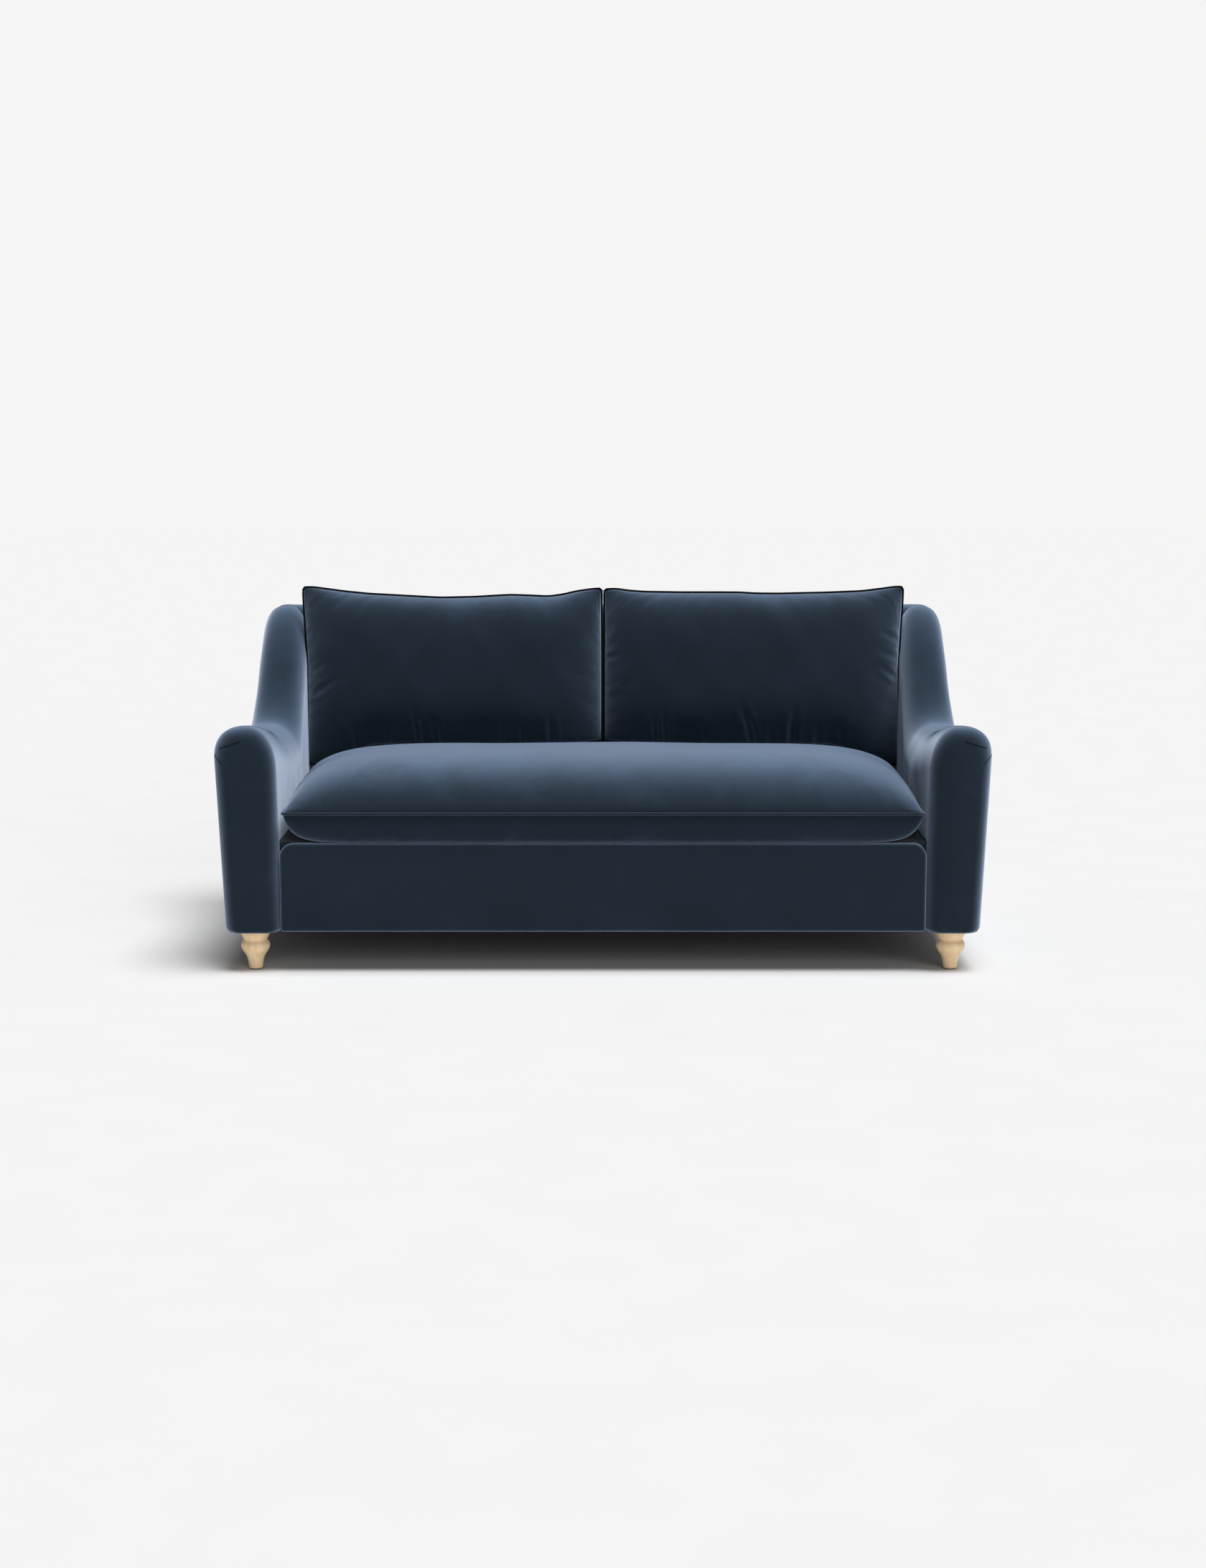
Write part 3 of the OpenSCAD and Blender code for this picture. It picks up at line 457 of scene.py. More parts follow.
def armSection(y):
    # one slice of the sleeve: up the outside, over the crest and down the inside
    drawn = armDrawnIn(y)
    top = armCrest(y) - drawn
    slope = arm["lean"] / arm["leanRun"] * (1 - smooth((y - arm["uprightY"]) / arm["uprightRun"]))
    recess = arm["thin"] * smooth((y - arm["thinY"]) / arm["thinRun"])
    outX = lambda z: arm["outerX"] + slope * (np.minimum(z, arm["leanTopZ"]) - arm["baseZ"]) - drawn
    inX = lambda z: arm["innerX"] + arm["innerLean"] * (z - arm["baseZ"]) + drawn + recess
    zo, zi = top - arm["shoulderOut"], top - arm["shoulderIn"]
    zWall = mix(arm["baseZ"], zo, np.linspace(0, 1, 52)[:-1])
    seam = arm["seamAngle"]
    outer = np.radians(np.concatenate([[0, 2, 3.6, 4.6, 5.1, 5.5, seam, 6.3, 6.7, 7.2, 8.2, 9.8],
                                       np.linspace(12, 90, 22)]))
    inner = np.radians(np.linspace(90, 0, 30)[1:])
    fromSeam = (np.degrees(outer) - seam) * arm["metresPerDegree"]
    groove = arm["seamDepth"] * np.exp(-(fromSeam / arm["seamWidth"]) ** 2 * 4)
    xo, xi = outX(zo), inX(zi)
    foot = arm["baseZ"] if y <= arm["frontY"] + arm["roundDepth"] + 1e-6 else arm["deckZ"]
    zIn = mix(zi, foot, np.linspace(0, 1, 40)[1:])
    outPower, inPower = 2 / arm["outerPower"], 2 / arm["innerPower"]
    x = np.concatenate([
        outX(zWall), arm["crestX"] + (xo - arm["crestX"]) * np.cos(outer) ** outPower - groove,
        arm["crestX"] - (arm["crestX"] - xi) * np.cos(inner) ** inPower, inX(zIn)])
    z = np.concatenate([zWall, zo + arm["shoulderOut"] * np.sin(outer) ** outPower,
                        zi + arm["shoulderIn"] * np.sin(inner) ** inPower, zIn])
    # a soft hem where the cloth turns under the base
    hem = arm["hemDepth"] * np.exp(-(np.abs(z - arm["baseZ"]) / arm["hemHeight"]) ** 1.5)
    x = x - hem * np.sign(x - (xo + xi) / 2)
    return x, z, seamColumn(zWall, outer)


def seamColumn(wall, outer):
    return len(wall) + int(np.argmin(np.abs(np.degrees(outer) - arm["seamAngle"])))


def armPoints():
    start = arm["frontY"] + arm["roundDepth"]
    front = arm["frontY"] + arm["roundDepth"] * (1 - np.cos(np.radians(np.linspace(0, 90, 16))))
    back = np.arange(start + arm["step"], arm["rearY"], arm["step"])
    ys = np.concatenate([front, [start + 0.0004], back, [arm["rearY"]]])
    rows, seam = [], []
    for y in ys:
        x, z, column = armSection(y)
        rows.append(np.stack([x, np.full_like(x, y), z], axis=1))
        seam.append(rows[-1][column])
    rows = np.array(rows)
    # the padding is not dead flat: slow swells that fade at the hem and the front
    across, deep, high = rows[:, :, 0], rows[:, :, 1], rows[:, :, 2]
    swell = waves(deep, high, arm["swells"])
    fade = smooth((high - 0.12) / 0.1) * smooth((deep + 0.44) / 0.1)
    # and on the inside before the back cushions
    fade = fade * np.where(across < arm["crestX"], 1 - smooth((deep + 0.05) / 0.15), 1)
    crest = np.array([armCrest(y) for y in ys])[:, None]
    rows[:, :, 0] += np.where(across > 0.85, 1, -1) * swell * fade * smooth((crest - high) / 0.1)
    # front face: rings that close on the middle line of the panel
    edge = rows[0]
    middleX = (edge[:, 0].max() + edge[:, 0].min()) / 2
    goalZ = np.minimum(edge[:, 2], edge[:, 2].max() - arm["capDrop"])
    goalX = middleX - arm["capLean"] * (1 - smooth((goalZ - 0.1) / 0.4))
    goal = np.stack([goalX, edge[:, 1], goalZ], axis=1)
    cap = []
    for s in np.linspace(0.94, 0, 16)[:-1]:
        ring = mix(edge, goal, s)
        ring[:, 1] = arm["frontY"] - arm["crown"] * (1 - (1 - s) ** 2) * smooth((ring[:, 2] - 0.1) / 0.05)
        cap.append(ring)
    return np.concatenate([np.array(cap), rows]), len(cap), len(front), np.array(seam)


def insideSection(x, y, z):
    # whether the padding at depth y takes in the point
    drawn = armDrawnIn(y)
    top = armCrest(y) - drawn
    zo = top - arm["shoulderOut"]
    xo = arm["outerX"] + arm["lean"] / arm["leanRun"] * (min(zo, arm["leanTopZ"]) - arm["baseZ"]) - drawn
    if x < arm["crestX"]:
        return z < top
    across, above = (x - arm["crestX"]) / (xo - arm["crestX"]), max(0, z - zo) / arm["shoulderOut"]
    return across ** arm["outerPower"] + above ** arm["outerPower"] < 1


def frontSeam():
    # where the front panel meets the piece that wraps over the arm: it rises slightly inwards
    line = []
    for x, z in zip(np.linspace(*arm["frontSeamX"], 26), np.linspace(*arm["frontSeamZ"], 26)):
        near, far = arm["frontY"], arm["frontY"] + arm["roundDepth"] + 0.05
        for _ in range(24):  # halves the gap until it meets the surface
            y = (near + far) / 2
            near, far = (near, y) if insideSection(x, y, z) else (y, far)
        line.append((x, far, z))
    return np.array(line)


def buildArm(side):
    word = "right" if side > 0 else "left"
    rows, capCount, frontCount, seam = armPoints()
    count, cols = rows.shape[:2]
    points = rows.reshape(-1, 3)
    faces = gridFaces(count, cols)
    # underside of the front, from wall to wall; its first face takes in the panel's lower edge
    down = tuple(r * cols + cols - 1 for r in range(capCount, -1, -1))
    up = tuple(r * cols for r in range(capCount + 1))
    faces.append(down + up + ((capCount + 1) * cols, (capCount + 2) * cols - 1))
    for r in range(capCount + 1, capCount + frontCount - 1):
        a, b = r * cols, (r + 1) * cols
        faces.append((a + cols - 1, a, b, b + cols - 1))
    # the narrow middle of the front panel
    for c in range(cols // 2):
        d = cols - 1 - c
        faces.append((c, d, d - 1, c + 1) if c < d - 1 else (c, d, c + 1))
    points = points * [side, 1, 1]
    if side > 0:
        faces = [f[::-1] for f in faces]
    sleeve = makePiece("arm_sleeve_" + word, points, faces, velvet)
    weld = sleeve.modifiers.new("weld", "WELD")
    weld.merge_threshold = 0.00005
    shell = sleeve.modifiers.new("thickness", "SOLIDIFY")
    shell.thickness = arm["thickness"]
    shell.offset = -1
    applyModifiers(sleeve)
    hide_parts("arm_front_pad_" + word, "arm_inner_pad_" + word, "arm_outer_panel_" + word)
    # both seams are thin cords in the near-black velvet: raised seams with painted shade along them
    points, faces = tubeAlong(frontSeam() * [side, 1, 1], 0.0010, 8, closed=False)
    makePiece("arm_front_seam_" + word, points, faces, shadedVelvetCord)
    sideSeam = seam[frontCount - 12:] + [0.0012, 0, 0]
    points, faces = tubeAlong(sideSeam[::2] * [side, 1, 1], 0.0009, 6, closed=False)
    makePiece("arm_side_seam_" + word, points, faces, shadedVelvetCord)


buildArm(1)
buildArm(-1)
print("arms padded")


# Front border, deck, inside back, top roll and outside back

border = {
    "halfX": 0.7635, "footZ": 0.097, "topZ": 0.308, "backY": -0.438, "frontY": -0.468,
    "cornerRadius": 0.032, "hemRadius": 0.007, "edge": 0.009, "crown": 0.0035,
}


def borderRing(inset, y):
    # a rounded rectangle, walked from its lower left corner along the foot and round
    half, low, high = border["halfX"] - inset, border["footZ"] + inset, border["topZ"] - inset
    most = (high - low) / 2 * 0.9 + 1e-5
    big = min(max(border["cornerRadius"] - inset, 0.002), most)
    small = min(max(border["hemRadius"] - inset, 0.0015), most)
    # each corner: middle of its arc, radius, first angle, steps round it and steps on the side before it
    corners = [(half - small, low + small, small, -90, 8, 90), (half - big, high - big, big, 0, 14, 12),
               (big - half, high - big, big, 90, 14, 90), (small - half, low + small, small, 180, 8, 12)]
    ring, last = [], (small - half, low)
    for cx, cz, radius, first, arcSteps, sideSteps in corners:
        angles = np.radians(np.linspace(first, first + 90, arcSteps))
        arc = [(cx + radius * math.cos(a), cz + radius * math.sin(a)) for a in angles]
        sides = np.linspace(0, 1, sideSteps)[:-1]
        ring += [(mix(last[0], arc[0][0], s), mix(last[1], arc[0][1], s)) for s in sides] + arc[:-1]
        last = arc[-1]
    return [(x, y, z) for x, z in ring]


edgeSteps = [border["edge"] * (1 - math.cos(math.radians(a))) for a in np.linspace(0, 90, 9)]
rings = [borderRing(0, border["backY"])]
for inset in edgeSteps:
    bend = 1 - math.sqrt(max(0.0, 1 - (1 - inset / border["edge"]) ** 2))
    rings.append(borderRing(inset, border["frontY"] + border["edge"] * bend))
for inset in np.linspace(border["edge"], 0.080, 9)[1:]:
    swollen = border["crown"] * float(smooth((inset - border["edge"]) / 0.066))
    rings.append(borderRing(inset, border["frontY"] - swollen))
ringSize = len(rings[0])
borderFaces = gridFaces(len(rings), ringSize, joined=True)
lastRing = (len(rings) - 1) * ringSize
borderFaces += [tuple(reversed(range(ringSize))), tuple(lastRing + k for k in range(ringSize))]
frontBorder = makePiece("front_border", np.array(rings).reshape(-1, 3), borderFaces, velvet)
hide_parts("front_border_pad")

deckLow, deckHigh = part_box("seat_deck_pad")
deckPoints, deckFaces = softBox(deckLow, deckHigh, 0.006, 0.03, 0.0, 2)
deck = makePiece("seat_deck", deckPoints, deckFaces, deckCloth)
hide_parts("seat_deck_pad")

insideBack = {
    "footY": 0.300, "footZ": 0.330, "lean": 0.132, "depth": 0.038,
    "halfX": 0.760, "lowZ": 0.308, "highZ": 0.741, "round": 0.010, "crown": 0.004,
}
points, faces = softBox(
    (-insideBack["halfX"], 0, insideBack["lowZ"]),
    (insideBack["halfX"], insideBack["depth"], insideBack["highZ"]),
    insideBack["round"], 0.02, insideBack["crown"], 1)
points[:, 1] += insideBack["footY"] + insideBack["lean"] * (points[:, 2] - insideBack["footZ"])
innerBack = makePiece("inside_back", points, faces, velvet)
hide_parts("inside_back_pad")


def rollRing(x, drop):
    top = roll["topZ"] - drop
    rise = max(top - roll["footZ"], 0.0004)
    a = np.radians(np.linspace(0, 180, 60))
    y = rollMiddle + rollHalf * np.sign(np.cos(a)) * np.abs(np.cos(a)) ** (2 / roll["power"])
    z = roll["footZ"] + rise * np.sin(a) ** (2 / roll["power"])
    base = np.linspace(roll["frontY"], roll["rearY"], 12)[1:-1]
    return np.concatenate([np.stack([np.full(60, x), y, z], axis=1),
                           np.stack([np.full(10, x), base, np.full(10, roll["footZ"])], axis=1)])


ends = [math.sin(math.radians(a)) for a in np.linspace(3, 86, 16)]
reach = arm["outerX"] - arm["crestX"]
dropAt = lambda t: arm["shoulderOut"] * (1 - (1 - t ** arm["outerPower"]) ** (1 / arm["outerPower"]))
stations = [(-arm["crestX"] - reach * t, dropAt(t)) for t in reversed(ends)]
stations += [(x, 0.0) for x in np.linspace(-arm["crestX"], arm["crestX"], 90)]
stations += [(arm["crestX"] + reach * t, dropAt(t)) for t in ends]
rollRings = np.array([rollRing(x, drop) for x, drop in stations])
soften = waves(rollRings[:, :, 0], rollRings[:, :, 1], roll["swells"])
rollRings[:, :, 2] -= np.abs(soften) * (rollRings[:, :, 2] > roll["footZ"] + 0.03)
rollSize = rollRings.shape[1]
rollFaces = gridFaces(len(rollRings), rollSize, joined=True)
lastRing = (len(rollRings) - 1) * rollSize
rollFaces += [tuple(reversed(range(rollSize))), tuple(lastRing + k for k in range(rollSize))]
topRoll = makePiece("back_top_roll", rollRings.reshape(-1, 3), rollFaces, velvet)
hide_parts("back_top_pad")

outside = {
    "halfX": 0.895, "frontY": 0.464, "rearY": 0.480, "footZ": 0.097, "topZ": 0.741,
    "round": 0.0072, "crown": 0.0025,
}
points, faces = softBox(
    (-outside["halfX"], outside["frontY"], outside["footZ"]),
    (outside["halfX"], outside["rearY"], outside["topZ"]), outside["round"], 0.02, outside["crown"], 1)
outerBack = makePiece("outside_back", points, faces, velvet)
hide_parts("outside_back_panel")
# the closing seam is a thin cord in the near-black velvet: painted shade along the seam
hand = [(x, outside["rearY"] - 0.0035, outside["topZ"] + 0.0005) for x in np.linspace(-0.886, 0.886, 90)]
points, faces = tubeAlong(hand, 0.0016, 8, closed=False)
makePiece("back_closing_seam", points, faces, shadedVelvetCord)
print("border, deck and back padded")


# Dust cover under the base

dust = {
    "halfX": 0.875, "frontY": -0.436, "rearY": 0.462, "z": 0.0978, "sag": 0.0035,
    "waves": [(0.0006, 0.23, 0.31, 0.3), (0.0005, 0.11, 0.17, 1.1)],
}
us, vs = np.linspace(-1, 1, 90), np.linspace(-1, 1, 46)
gu, gv = np.meshgrid(us, vs)
x, y = gu * dust["halfX"], mix(dust["frontY"], dust["rearY"], (gv + 1) / 2)
hang = (1 - gu ** 4) * (1 - gv ** 4)
slack = np.abs(waves(x, y, dust["waves"]))
z = dust["z"] - dust["sag"] * hang - slack * hang
dustSheet = makePiece("dust_cover_cloth", np.stack([x, y, z], axis=2).reshape(-1, 3),
                      [f[::-1] for f in gridFaces(len(vs), len(us))], dustCloth)
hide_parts("dust_cover")
print("dust cover stretched")


# Cushions

def bulge(t, power, gain):
    return np.maximum(0, 1 - np.abs(t) ** power) ** gain


def puff(u, v, power, gain):
    return bulge(u, power, gain) * bulge(v, power, gain)


def spread(n):
    # steps from -1 to 1 that close up towards the seam
    t = np.linspace(-1, 1, n + 1)
    return 0.35 * t + 0.65 * np.sin(np.pi / 2 * t)


def pillowMesh(upper, lower):
    # two grids that share their outer points
    rows, cols = upper.shape[:2]
    size = rows * cols
    low = np.arange(size) + size
    rim = np.zeros((rows, cols), bool)
    rim[0], rim[-1], rim[:, 0], rim[:, -1] = True, True, True, True
    low[rim.reshape(-1)] = np.arange(size)[rim.reshape(-1)]
    faces = gridFaces(rows, cols) + [tuple(int(low[i]) for i in f[::-1]) for f in gridFaces(rows, cols)]
    points = np.concatenate([upper.reshape(-1, 3), lower.reshape(-1, 3)])
    return points, faces, rim


def blur(field, times):
    for _ in range(times):
        wide = np.pad(field, ((1, 1), (1, 1), (0, 0)), mode="edge")
        near = wide[:-2, 1:-1] + wide[2:, 1:-1] + wide[1:-1, :-2] + wide[1:-1, 2:]
        field = (near + 2 * wide[1:-1, 1:-1]) / 6
    return field


def resample(field, us, vs, newUs, newVs):
    # reads the field at newUs and newVs, first across and then down
    across = [[np.interp(newUs, us, row[:, k]) for k in range(3)] for row in field]
    across = np.array(across).transpose(0, 2, 1)
    down = [[np.interp(newVs, vs, across[:, c, k]) for k in range(3)] for c in range(len(newUs))]
    return np.array(down).transpose(2, 0, 1)


def clothDetail(name, upper, lower, cloth):
    # blows the cover up with its rim held, and gives back only the creases that the cloth makes
    points, faces, rim = pillowMesh(upper, lower)
    mesh = bpy.data.meshes.new(name)
    mesh.from_pydata(points.tolist(), [], faces)
    mesh.update()
    cover = bpy.data.objects.new(name, mesh)
    bpy.context.scene.collection.objects.link(cover)
    held = cover.vertex_groups.new(name="rim")
    held.add([int(i) for i in np.flatnonzero(rim.reshape(-1))], 1.0, "REPLACE")
    modifier = cover.modifiers.new("cloth", "CLOTH")
    settings = modifier.settings
    settings.quality = 4
    settings.mass = cloth["mass"]
    settings.tension_stiffness = cloth["stiffness"]
    settings.compression_stiffness = cloth["stiffness"]
    settings.shear_stiffness = cloth["shear"]
    settings.bending_stiffness = cloth["bending"]
    settings.air_damping = 4.0
    settings.use_pressure = True
    settings.uniform_pressure_force = cloth["pressure"]
    settings.shrink_min = cloth["shrink"]
    settings.vertex_group_mass = "rim"
    settings.effector_weights.gravity = 0.0
    modifier.collision_settings.use_collision = False
    modifier.point_cache.frame_start, modifier.point_cache.frame_end = 1, cloth["frames"]
    for f in range(1, cloth["frames"] + 1):
        bpy.context.scene.frame_set(f)
    settled = cover.evaluated_get(bpy.context.evaluated_depsgraph_get()).data
    moved = np.empty(len(settled.vertices) * 3)
    settled.vertices.foreach_get("co", moved)
    moved = moved.reshape(-1, 3)
    bpy.data.objects.remove(cover)
    bpy.context.scene.frame_set(1)
    rows, cols = upper.shape[:2]
    size = rows * cols
    details = []
    for base, result in ((upper, moved[:size]), (lower, moved[size:])):
        shift = np.where(rim[:, :, None], 0.0, result.reshape(rows, cols, 3) - base)
        crease = shift - blur(shift, cloth["broad"])
        reachOut = np.linalg.norm(crease, axis=2, keepdims=True)
        details.append(crease * np.minimum(1, cloth["cap"] / np.maximum(reachOut, 1e-9)) * cloth["gain"])
    return details


def crease(x, z, folds):
    # depth of sewn or slumped folds: each is (x0, z0, x1, z1, width, depth), deepest at its first end
    depth = 0 * x
    for x0, z0, x1, z1, width, deep in folds:
        along = np.array([x1 - x0, z1 - z0])
        length = np.hypot(*along)
        t = ((x - x0) * along[0] + (z - z0) * along[1]) / length ** 2
        off = ((x - x0) * along[1] - (z - z0) * along[0]) / length
        fade = smooth((1.0 - t) / 0.85) * smooth((t + 0.35) / 0.3)
        # cloth is pushed up on both sides of a fold
        lips = np.exp(-((np.abs(off) - 1.9 * width) / (0.9 * width)) ** 2)
        groove = np.exp(-(off / width) ** 2) - 0.55 * lips
        depth = depth + deep * groove * fade
    return depth


seat = {
    "halfX": 0.752, "frontY": -0.472, "rearY": 0.282, "bottomZ": 0.309, "cordRadius": 0.0034,
    "cells": (116, 64), "fine": 2,
    "cloth": {"mass": 0.35, "stiffness": 14, "shear": 6, "bending": 0.6, "pressure": 3.0, "shrink": -0.022,
              "frames": 16, "broad": 60, "cap": 0.004, "gain": 0.22},
    # short dimples that rise from the seat's lower front edge
    "dimples": [(-0.592, 0.322, -0.589, 0.368, 0.006, 0.0022), (-0.476, 0.325, -0.470, 0.372, 0.006, 0.0020),
                (0.350, 0.322, 0.356, 0.360, 0.009, 0.0012)],
    # broad hollows where people have sat: middle, reach and depth
    "hollows": [(-0.33, -0.12, 0.26, 0.18, 0.003), (0.36, -0.10, 0.24, 0.17, 0.003)],
    "swells": [(0.0006, 0.46, 0.31, 0.9), (0.0002, 0.245, 0.19, 2.2)],
    # heights of the seam and of the top, at the front and at the rear
    "seamZ": (0.381, 0.390), "topZ": (0.500, 0.456), "cordOut": 0.0022,
}


def seatSurface(us, vs):
    u, v = np.meshgrid(us, vs)
    y = mix(seat["frontY"], seat["rearY"], (v + 1) / 2)
    seam = mix(*seat["seamZ"], smooth((y + 0.480) / 0.700))
    top = mix(*seat["topZ"], smooth((y + 0.060) / 0.180))
    x = u * seat["halfX"]
    upper = np.stack([x, y, mix(seam, top, bulge(u, 7, 0.5) * bulge(v, 4, 0.6))], axis=2)
    under = mix(seam, seat["bottomZ"], 1.04 * bulge(u, 20, 0.5) * bulge(v, 60, 0.5))
    lower = np.stack([x, y, np.maximum(seat["bottomZ"], under)], axis=2)
    return upper, lower


def finishCushion(name, upper, lower, cord, cordRadius, cordMaterial, body, nodes):
    points, faces, _ = pillowMesh(upper, lower)
    cushion = makePiece(name, points, faces, velvet, body)
    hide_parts(*nodes)
    points, faces = tubeAlong(cord, cordRadius, 12)
    makePiece(name + "_piping", points, faces, cordMaterial, body)


def evenLoop(loop, spacing):
    # the same closed loop with points a constant distance apart
    closed = np.concatenate([loop, loop[:1]])
    run = np.concatenate([[0], np.cumsum(np.linalg.norm(np.diff(closed, axis=0), axis=1))])
    where = np.linspace(0, run[-1], max(12, round(run[-1] / spacing)), endpoint=False)
    return np.stack([np.interp(where, run, closed[:, k]) for k in range(3)], axis=1)


def rimLoop(grid):
    return np.concatenate([grid[0, :-1], grid[:-1, -1], grid[-1, :0:-1], grid[:0:-1, 0]])


def outwards(loop, distance):
    # moves a flat loop away from its middle, square to its own sides
    tangent = np.roll(loop, -1, axis=0) - np.roll(loop, 1, axis=0)
    tangent /= np.linalg.norm(tangent, axis=1)[:, None]
    centre = loop.mean(axis=0)
    normal = np.cross(loop[0] - centre, loop[len(loop) // 4] - centre)
    side = np.cross(tangent, normal / np.linalg.norm(normal))
    side /= np.linalg.norm(side, axis=1)[:, None]
    if np.mean(np.sum(side * (loop - centre), axis=1)) < 0:
        side = -side
    return loop + distance * side


seatUs, seatVs = spread(seat["cells"][0]), spread(seat["cells"][1])
fineUs, fineVs = spread(seat["cells"][0] * seat["fine"]), spread(seat["cells"][1] * seat["fine"])
upper, lower = seatSurface(fineUs, fineVs)
coarseUpper, coarseLower = seatSurface(seatUs, seatVs)
creases = clothDetail("seat_cover_cloth", coarseUpper, coarseLower, seat["cloth"])
upper = upper + resample(creases[0], seatUs, seatVs, fineUs, fineVs)
lower = lower + resample(creases[1], seatUs, seatVs, fineUs, fineVs) * [1, 1, 0.6]
u, v = np.meshgrid(fineUs, fineVs)
calm = smooth((1 - np.maximum(np.abs(u), np.abs(v))) / 0.12)
x, y = upper[:, :, 0], upper[:, :, 1]
for cx, cy, rx, ry, deep in seat["hollows"]:
    upper[:, :, 2] -= deep * calm * np.exp(-((x - cx) / rx) ** 2 - ((y - cy) / ry) ** 2)
upper[:, :, 2] += calm * waves(x, y, seat["swells"])
lower[:, :, 1] += crease(lower[:, :, 0], lower[:, :, 2], seat["dimples"]) * (v < 0)
lower[:, :, 2] = np.maximum(lower[:, :, 2], seat["bottomZ"])
seatLoop = outwards(evenLoop(rimLoop(upper), 0.012), seat["cordOut"])
finishCushion("seat_cushion_cover", upper, lower, seatLoop, seat["cordRadius"], shadedVelvetBand,
              "seat_cushion_body", ["seat_cushion_top", "seat_cushion_base", "seat_cushion_core",
                                    "seat_cushion_piping"])
print("seat cushion filled")

# Each back cushion: outline, fullness and the folds that rise where it slumps on the seat.
# Points across are measured from the middle of the sofa outwards.
backCushion = {
    "innerX": 0.0052, "footX": 0.7740, "earX": 0.7860, "footZ": 0.470, "topZ": 0.836, "footY": 0.228,
    "droop": 0.060, "droopX": 0.580, "droopRun": 0.170, "belly": 0.024, "lean": 0.132,
    "half": 0.080, "rear": 0.82, "cordRadius": 0.0030, "cordOut": 0.0018, "cells": (84, 52), "fine": 2,
    "cloth": {"mass": 0.3, "stiffness": 10, "shear": 4, "bending": 0.35, "pressure": 4.0, "shrink": -0.035,
              "frames": 18, "broad": 45, "cap": 0.005, "gain": 0.18},
    "topLeft": [(-1, .8630), (-.945, .8620), (-.834, .8560), (-.739, .8470), (-.644, .8422), (-.549, .8440),
                (-.391, .8460), (-.154, .8405), (.083, .8385), (.320, .8435), (.557, .8489), (.715, .8550),
                (.874, .8635), (.95, .8670), (1, .8660)],
    "topRight": [(-1, .8610), (-.92, .8625), (-.863, .8585), (-.735, .8545), (-.477, .8525), (-.091, .8520),
                 (.006, .8495), (.167, .8490), (.488, .8520), (.730, .8560), (.858, .8625),
                 (.97, .8685), (1, .8670)],
    "foldsLeft": [(.478, .470, .492, .585, .0075, 0.0072), (.428, .472, .448, .560, .0085, 0.0061),
                  (.556, .475, .566, .535, .007, 0.0043), (.268, .472, .255, .535, .007, 0.0046),
                  (.208, .474, .212, .545, .008, 0.0043), (.132, .472, .142, .570, .009, 0.0049),
                  (.330, .472, .322, .520, .006, 0.0032), (.640, .474, .650, .540, .008, 0.0038),
                  (.745, .600, .690, .640, .007, .0012), (.755, .655, .715, .680, .006, .0010)],
    "foldsRight": [(.078, .472, .076, .520, .006, 0.0043), (.142, .472, .134, .560, .0075, 0.0067),
                   (.165, .472, .156, .575, .008, 0.0058), (.268, .472, .266, .522, .0065, 0.0041),
                   (.400, .468, .350, .590, .0085, 0.0084), (.432, .474, .440, .528, .007, 0.0052),
                   (.490, .472, .500, .590, .009, 0.0067), (.556, .472, .562, .530, .007, 0.0052),
                   (.620, .474, .626, .520, .007, 0.0038), (.770, .735, .715, .760, .007, .0024),
                   (.764, .690, .712, .706, .007, .0022), (.760, .640, .715, .672, .007, .0024),
                   (.012, .690, .045, .692, .006, .0026)],
}


def backSurface(us, vs, topLine, folds):
    b = backCushion
    u, v = np.meshgrid(us, vs)
    outer = mix(b["footX"], b["earX"], smooth((v + 0.1) / 1.1))
    x = mix(b["innerX"], outer, (u + 1) / 2)
    fineLine = np.linspace(-1, 1, 401)
    heights = np.interp(fineLine, [p[0] for p in topLine], [p[1] for p in topLine])
    kernel = np.hanning(25) / np.hanning(25).sum()
    heights = np.convolve(np.pad(heights, 12, mode="edge"), kernel, mode="valid")
    rise = np.interp(u, fineLine, heights) - b["topZ"]
    z = mix(b["footZ"], b["topZ"], (v + 1) / 2) + rise * smooth((v + 0.1) / 1.1)
    # beside the crown of the seat the outer corner sinks
    z = z - b["droop"] * smooth((x - b["droopX"]) / b["droopRun"]) * (1 - smooth((v + 1) / 0.5))
    seamY = b["footY"] + b["lean"] * (z - b["footZ"])
    depth = b["half"] * puff(u, v, 4, 0.6)
    # the filling sinks, so the lower half is fuller than the upper
    depth = depth * (1 + 0.05 * np.cos(np.pi * (v + 0.4)) * (1 - u ** 2))
    front = seamY - depth + crease(x, z, folds) * smooth((1 - np.abs(u)) / 0.03)
    # the belly sinks over the lower seam until it rests on the seat
    t = np.clip((-0.75 - v) / 0.25, 0, 1)
    belly = b["belly"] * np.sin(np.pi * t ** 1.2) * bulge(u, 6, 0.5)
    rest = mix(seat["seamZ"][1], seat["topZ"][1], bulge(x / seat["halfX"], 7, 0.5)) + 0.0015
    lowZ = np.minimum(z, np.maximum(z - belly, rest))
    return np.stack([x, front, lowZ], axis=2), np.stack([x, seamY + depth * b["rear"], z], axis=2)


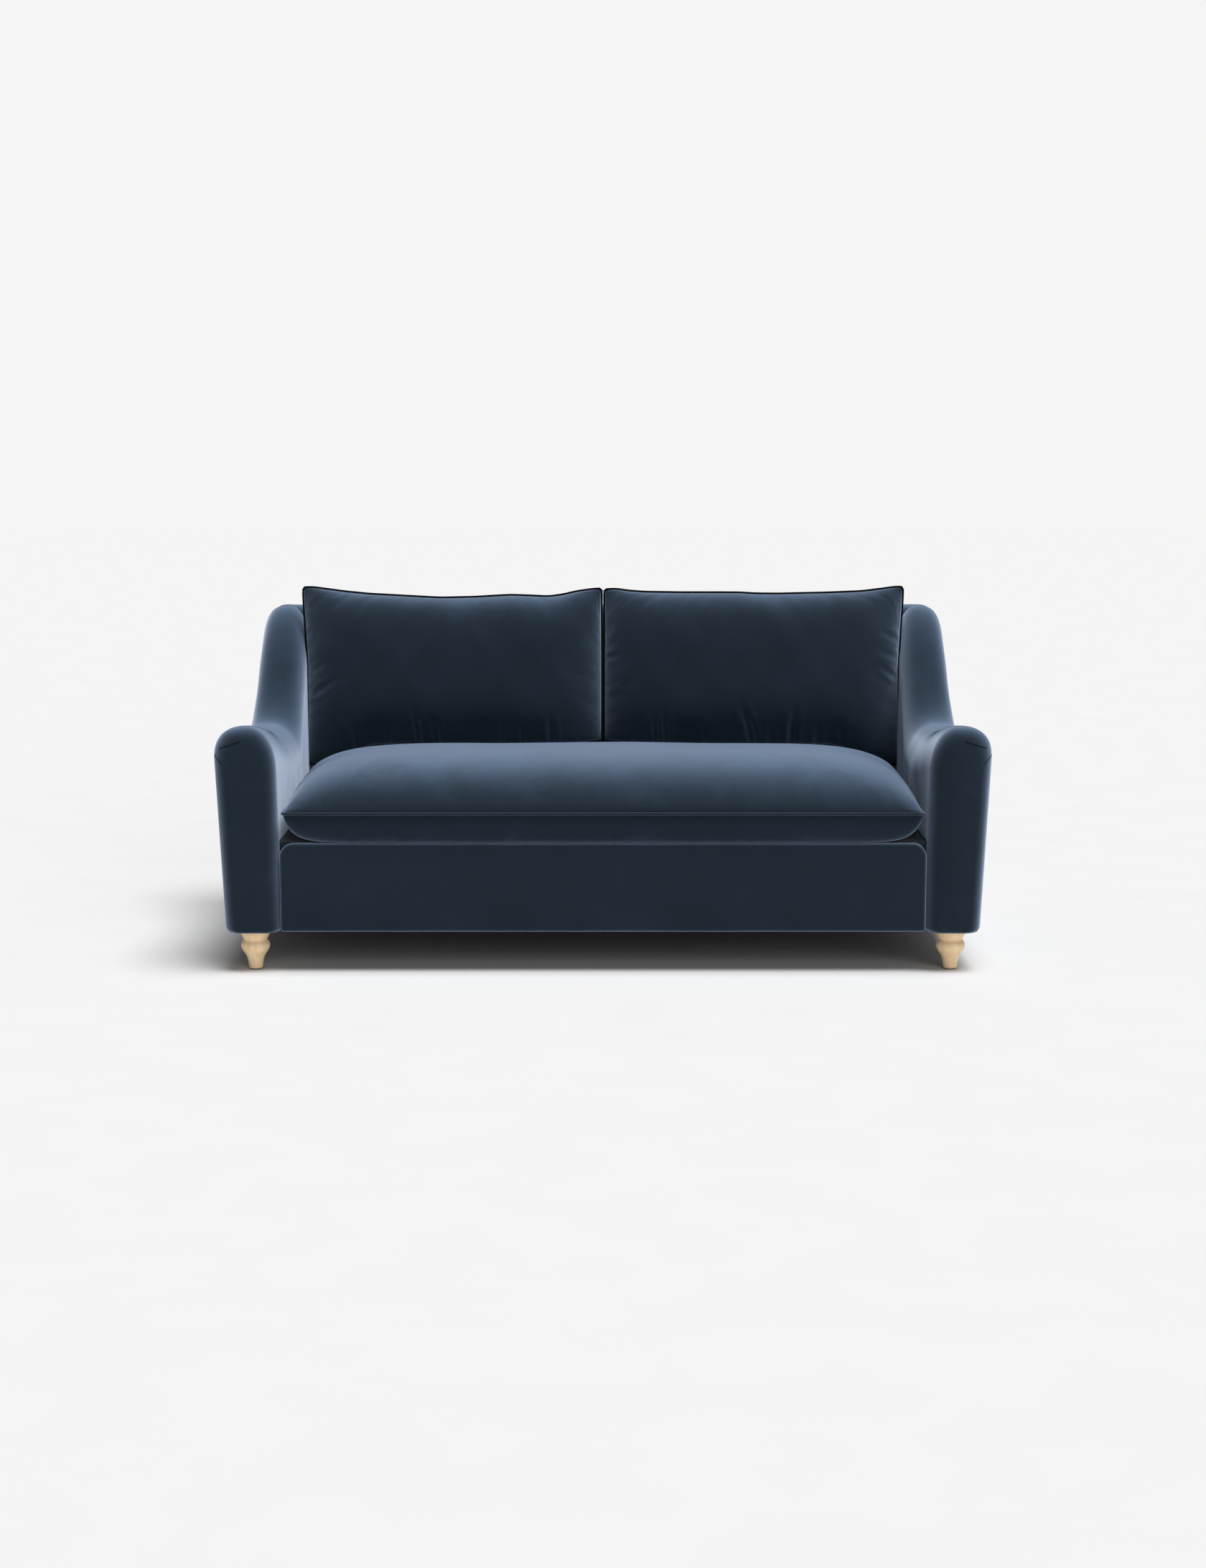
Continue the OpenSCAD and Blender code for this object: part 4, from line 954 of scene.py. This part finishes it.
def buildBackCushion(side):
    word = "right" if side > 0 else "left"
    b = backCushion
    topLine, folds = b["top" + word.title()], b["folds" + word.title()]
    us, vs = spread(b["cells"][0]), spread(b["cells"][1])
    wideUs, wideVs = spread(b["cells"][0] * b["fine"]), spread(b["cells"][1] * b["fine"])
    front, rear = backSurface(wideUs, wideVs, topLine, folds)
    baseFront, baseRear = backSurface(us, vs, topLine, folds)
    creases = clothDetail("back_cover_cloth_" + word, baseFront, baseRear, b["cloth"])
    front = front + resample(creases[0], us, vs, wideUs, wideVs)
    rear = rear + resample(creases[1], us, vs, wideUs, wideVs)
    swell = waves(front[:, :, 0], front[:, :, 2], [
        (0.0012, 0.24, 0.27, side + 1.3), (0.0008, 0.13, 0.16, side + 2.6)])
    front[:, :, 1] += swell * smooth((1 - np.abs(np.meshgrid(wideUs, wideVs)[0])) / 0.15)
    loop = outwards(evenLoop(rimLoop(front), 0.008), b["cordOut"])
    flip = np.array([side, 1, 1])
    front, rear, loop = front * flip, rear * flip, loop * flip
    if side < 0:
        front, rear = front[:, ::-1], rear[:, ::-1]
        loop = loop[::-1]
    cadNodes = ["back_cushion_%s_%s" % (word, part) for part in ("face", "rear", "core", "piping")]
    # the piping cord uses the near-black velvet: painted shade
    finishCushion("back_cushion_%s_cover" % word, front, rear, loop, b["cordRadius"], shadedVelvetCord,
                  "back_cushion_%s_body" % word, cadNodes)


buildBackCushion(1)
buildBackCushion(-1)
print("back cushions filled")


# Floor, light and camera

studio = {
    "floorLight": "#dadada", "floorDark": "#d6d6d6", "size": 60.0, "world": 0.13, "backdrop": 0.913,
    "suns": {"key_light": ((0.38, -1.00, 0.30), 0.95, 50.0),
             "top_light": ((0.22, -0.16, 1.0), 3.62, 34.0)},
    "cameraPlace": (0.0, -6.08, 1.240), "tilt": 82.0, "lens": 55.5,
}
half = studio["size"] / 2
floorMesh = bpy.data.meshes.new("studio_floor")
corners = [(-half, -half, 0), (half, -half, 0), (half, half, 0), (-half, half, 0)]
floorMesh.from_pydata(corners, [], [(0, 1, 2, 3)])
floor = bpy.data.objects.new("studio_floor", floorMesh)
bpy.context.scene.collection.objects.link(floor)
floorPaint, floorTree, floorShader = newMaterial("matt_paint_floor", Roughness=0.9, Specular_IOR_Level=0.0)
speck = addNode(floorTree, "ShaderNodeTexNoise", {"Scale": 300.0, "Detail": 2.0})
shade = blend(floorTree, speck.outputs["Fac"],
              hexColour(studio["floorDark"]), hexColour(studio["floorLight"]))
floorTree.links.new(shade, floorShader.inputs["Base Color"])
floorMesh.materials.append(floorPaint)

scene = bpy.context.scene
world = bpy.data.worlds.new("studio_air")
scene.world = world
world.use_nodes = True
# the air lights the sofa softly, and looks as pale as the floor
airTree = world.node_tree
seen = addNode(airTree, "ShaderNodeLightPath").outputs["Is Camera Ray"]
airGlow = addNode(airTree, "ShaderNodeMapRange", {
    "Value": seen, "To Min": studio["world"], "To Max": studio["backdrop"]})
airTree.links.new(airGlow.outputs["Result"], airTree.nodes["Background"].inputs["Strength"])
airTree.nodes["Background"].inputs["Color"].default_value = (1.0, 1.0, 1.0, 1.0)
scene.view_settings.view_transform = "Standard"

# each light: where it comes from, strength, and how wide it looks in degrees
for lightName, (comesFrom, strength, wide) in studio["suns"].items():
    sun = bpy.data.lights.new(lightName, "SUN")
    sun.energy = strength
    sun.angle = math.radians(wide)
    sunObject = bpy.data.objects.new(lightName, sun)
    scene.collection.objects.link(sunObject)
    sunObject.rotation_euler = Vector(comesFrom).to_track_quat("Z", "Y").to_euler()

camera = bpy.data.cameras.new("camera")
camera.lens = studio["lens"]
camera.sensor_width = 36.0
camera.clip_end = 200.0
cameraObject = bpy.data.objects.new("camera", camera)
scene.collection.objects.link(cameraObject)
cameraObject.location = studio["cameraPlace"]
cameraObject.rotation_euler = (math.radians(studio["tilt"]), 0.0, 0.0)
scene.camera = cameraObject
print("lights and camera set")
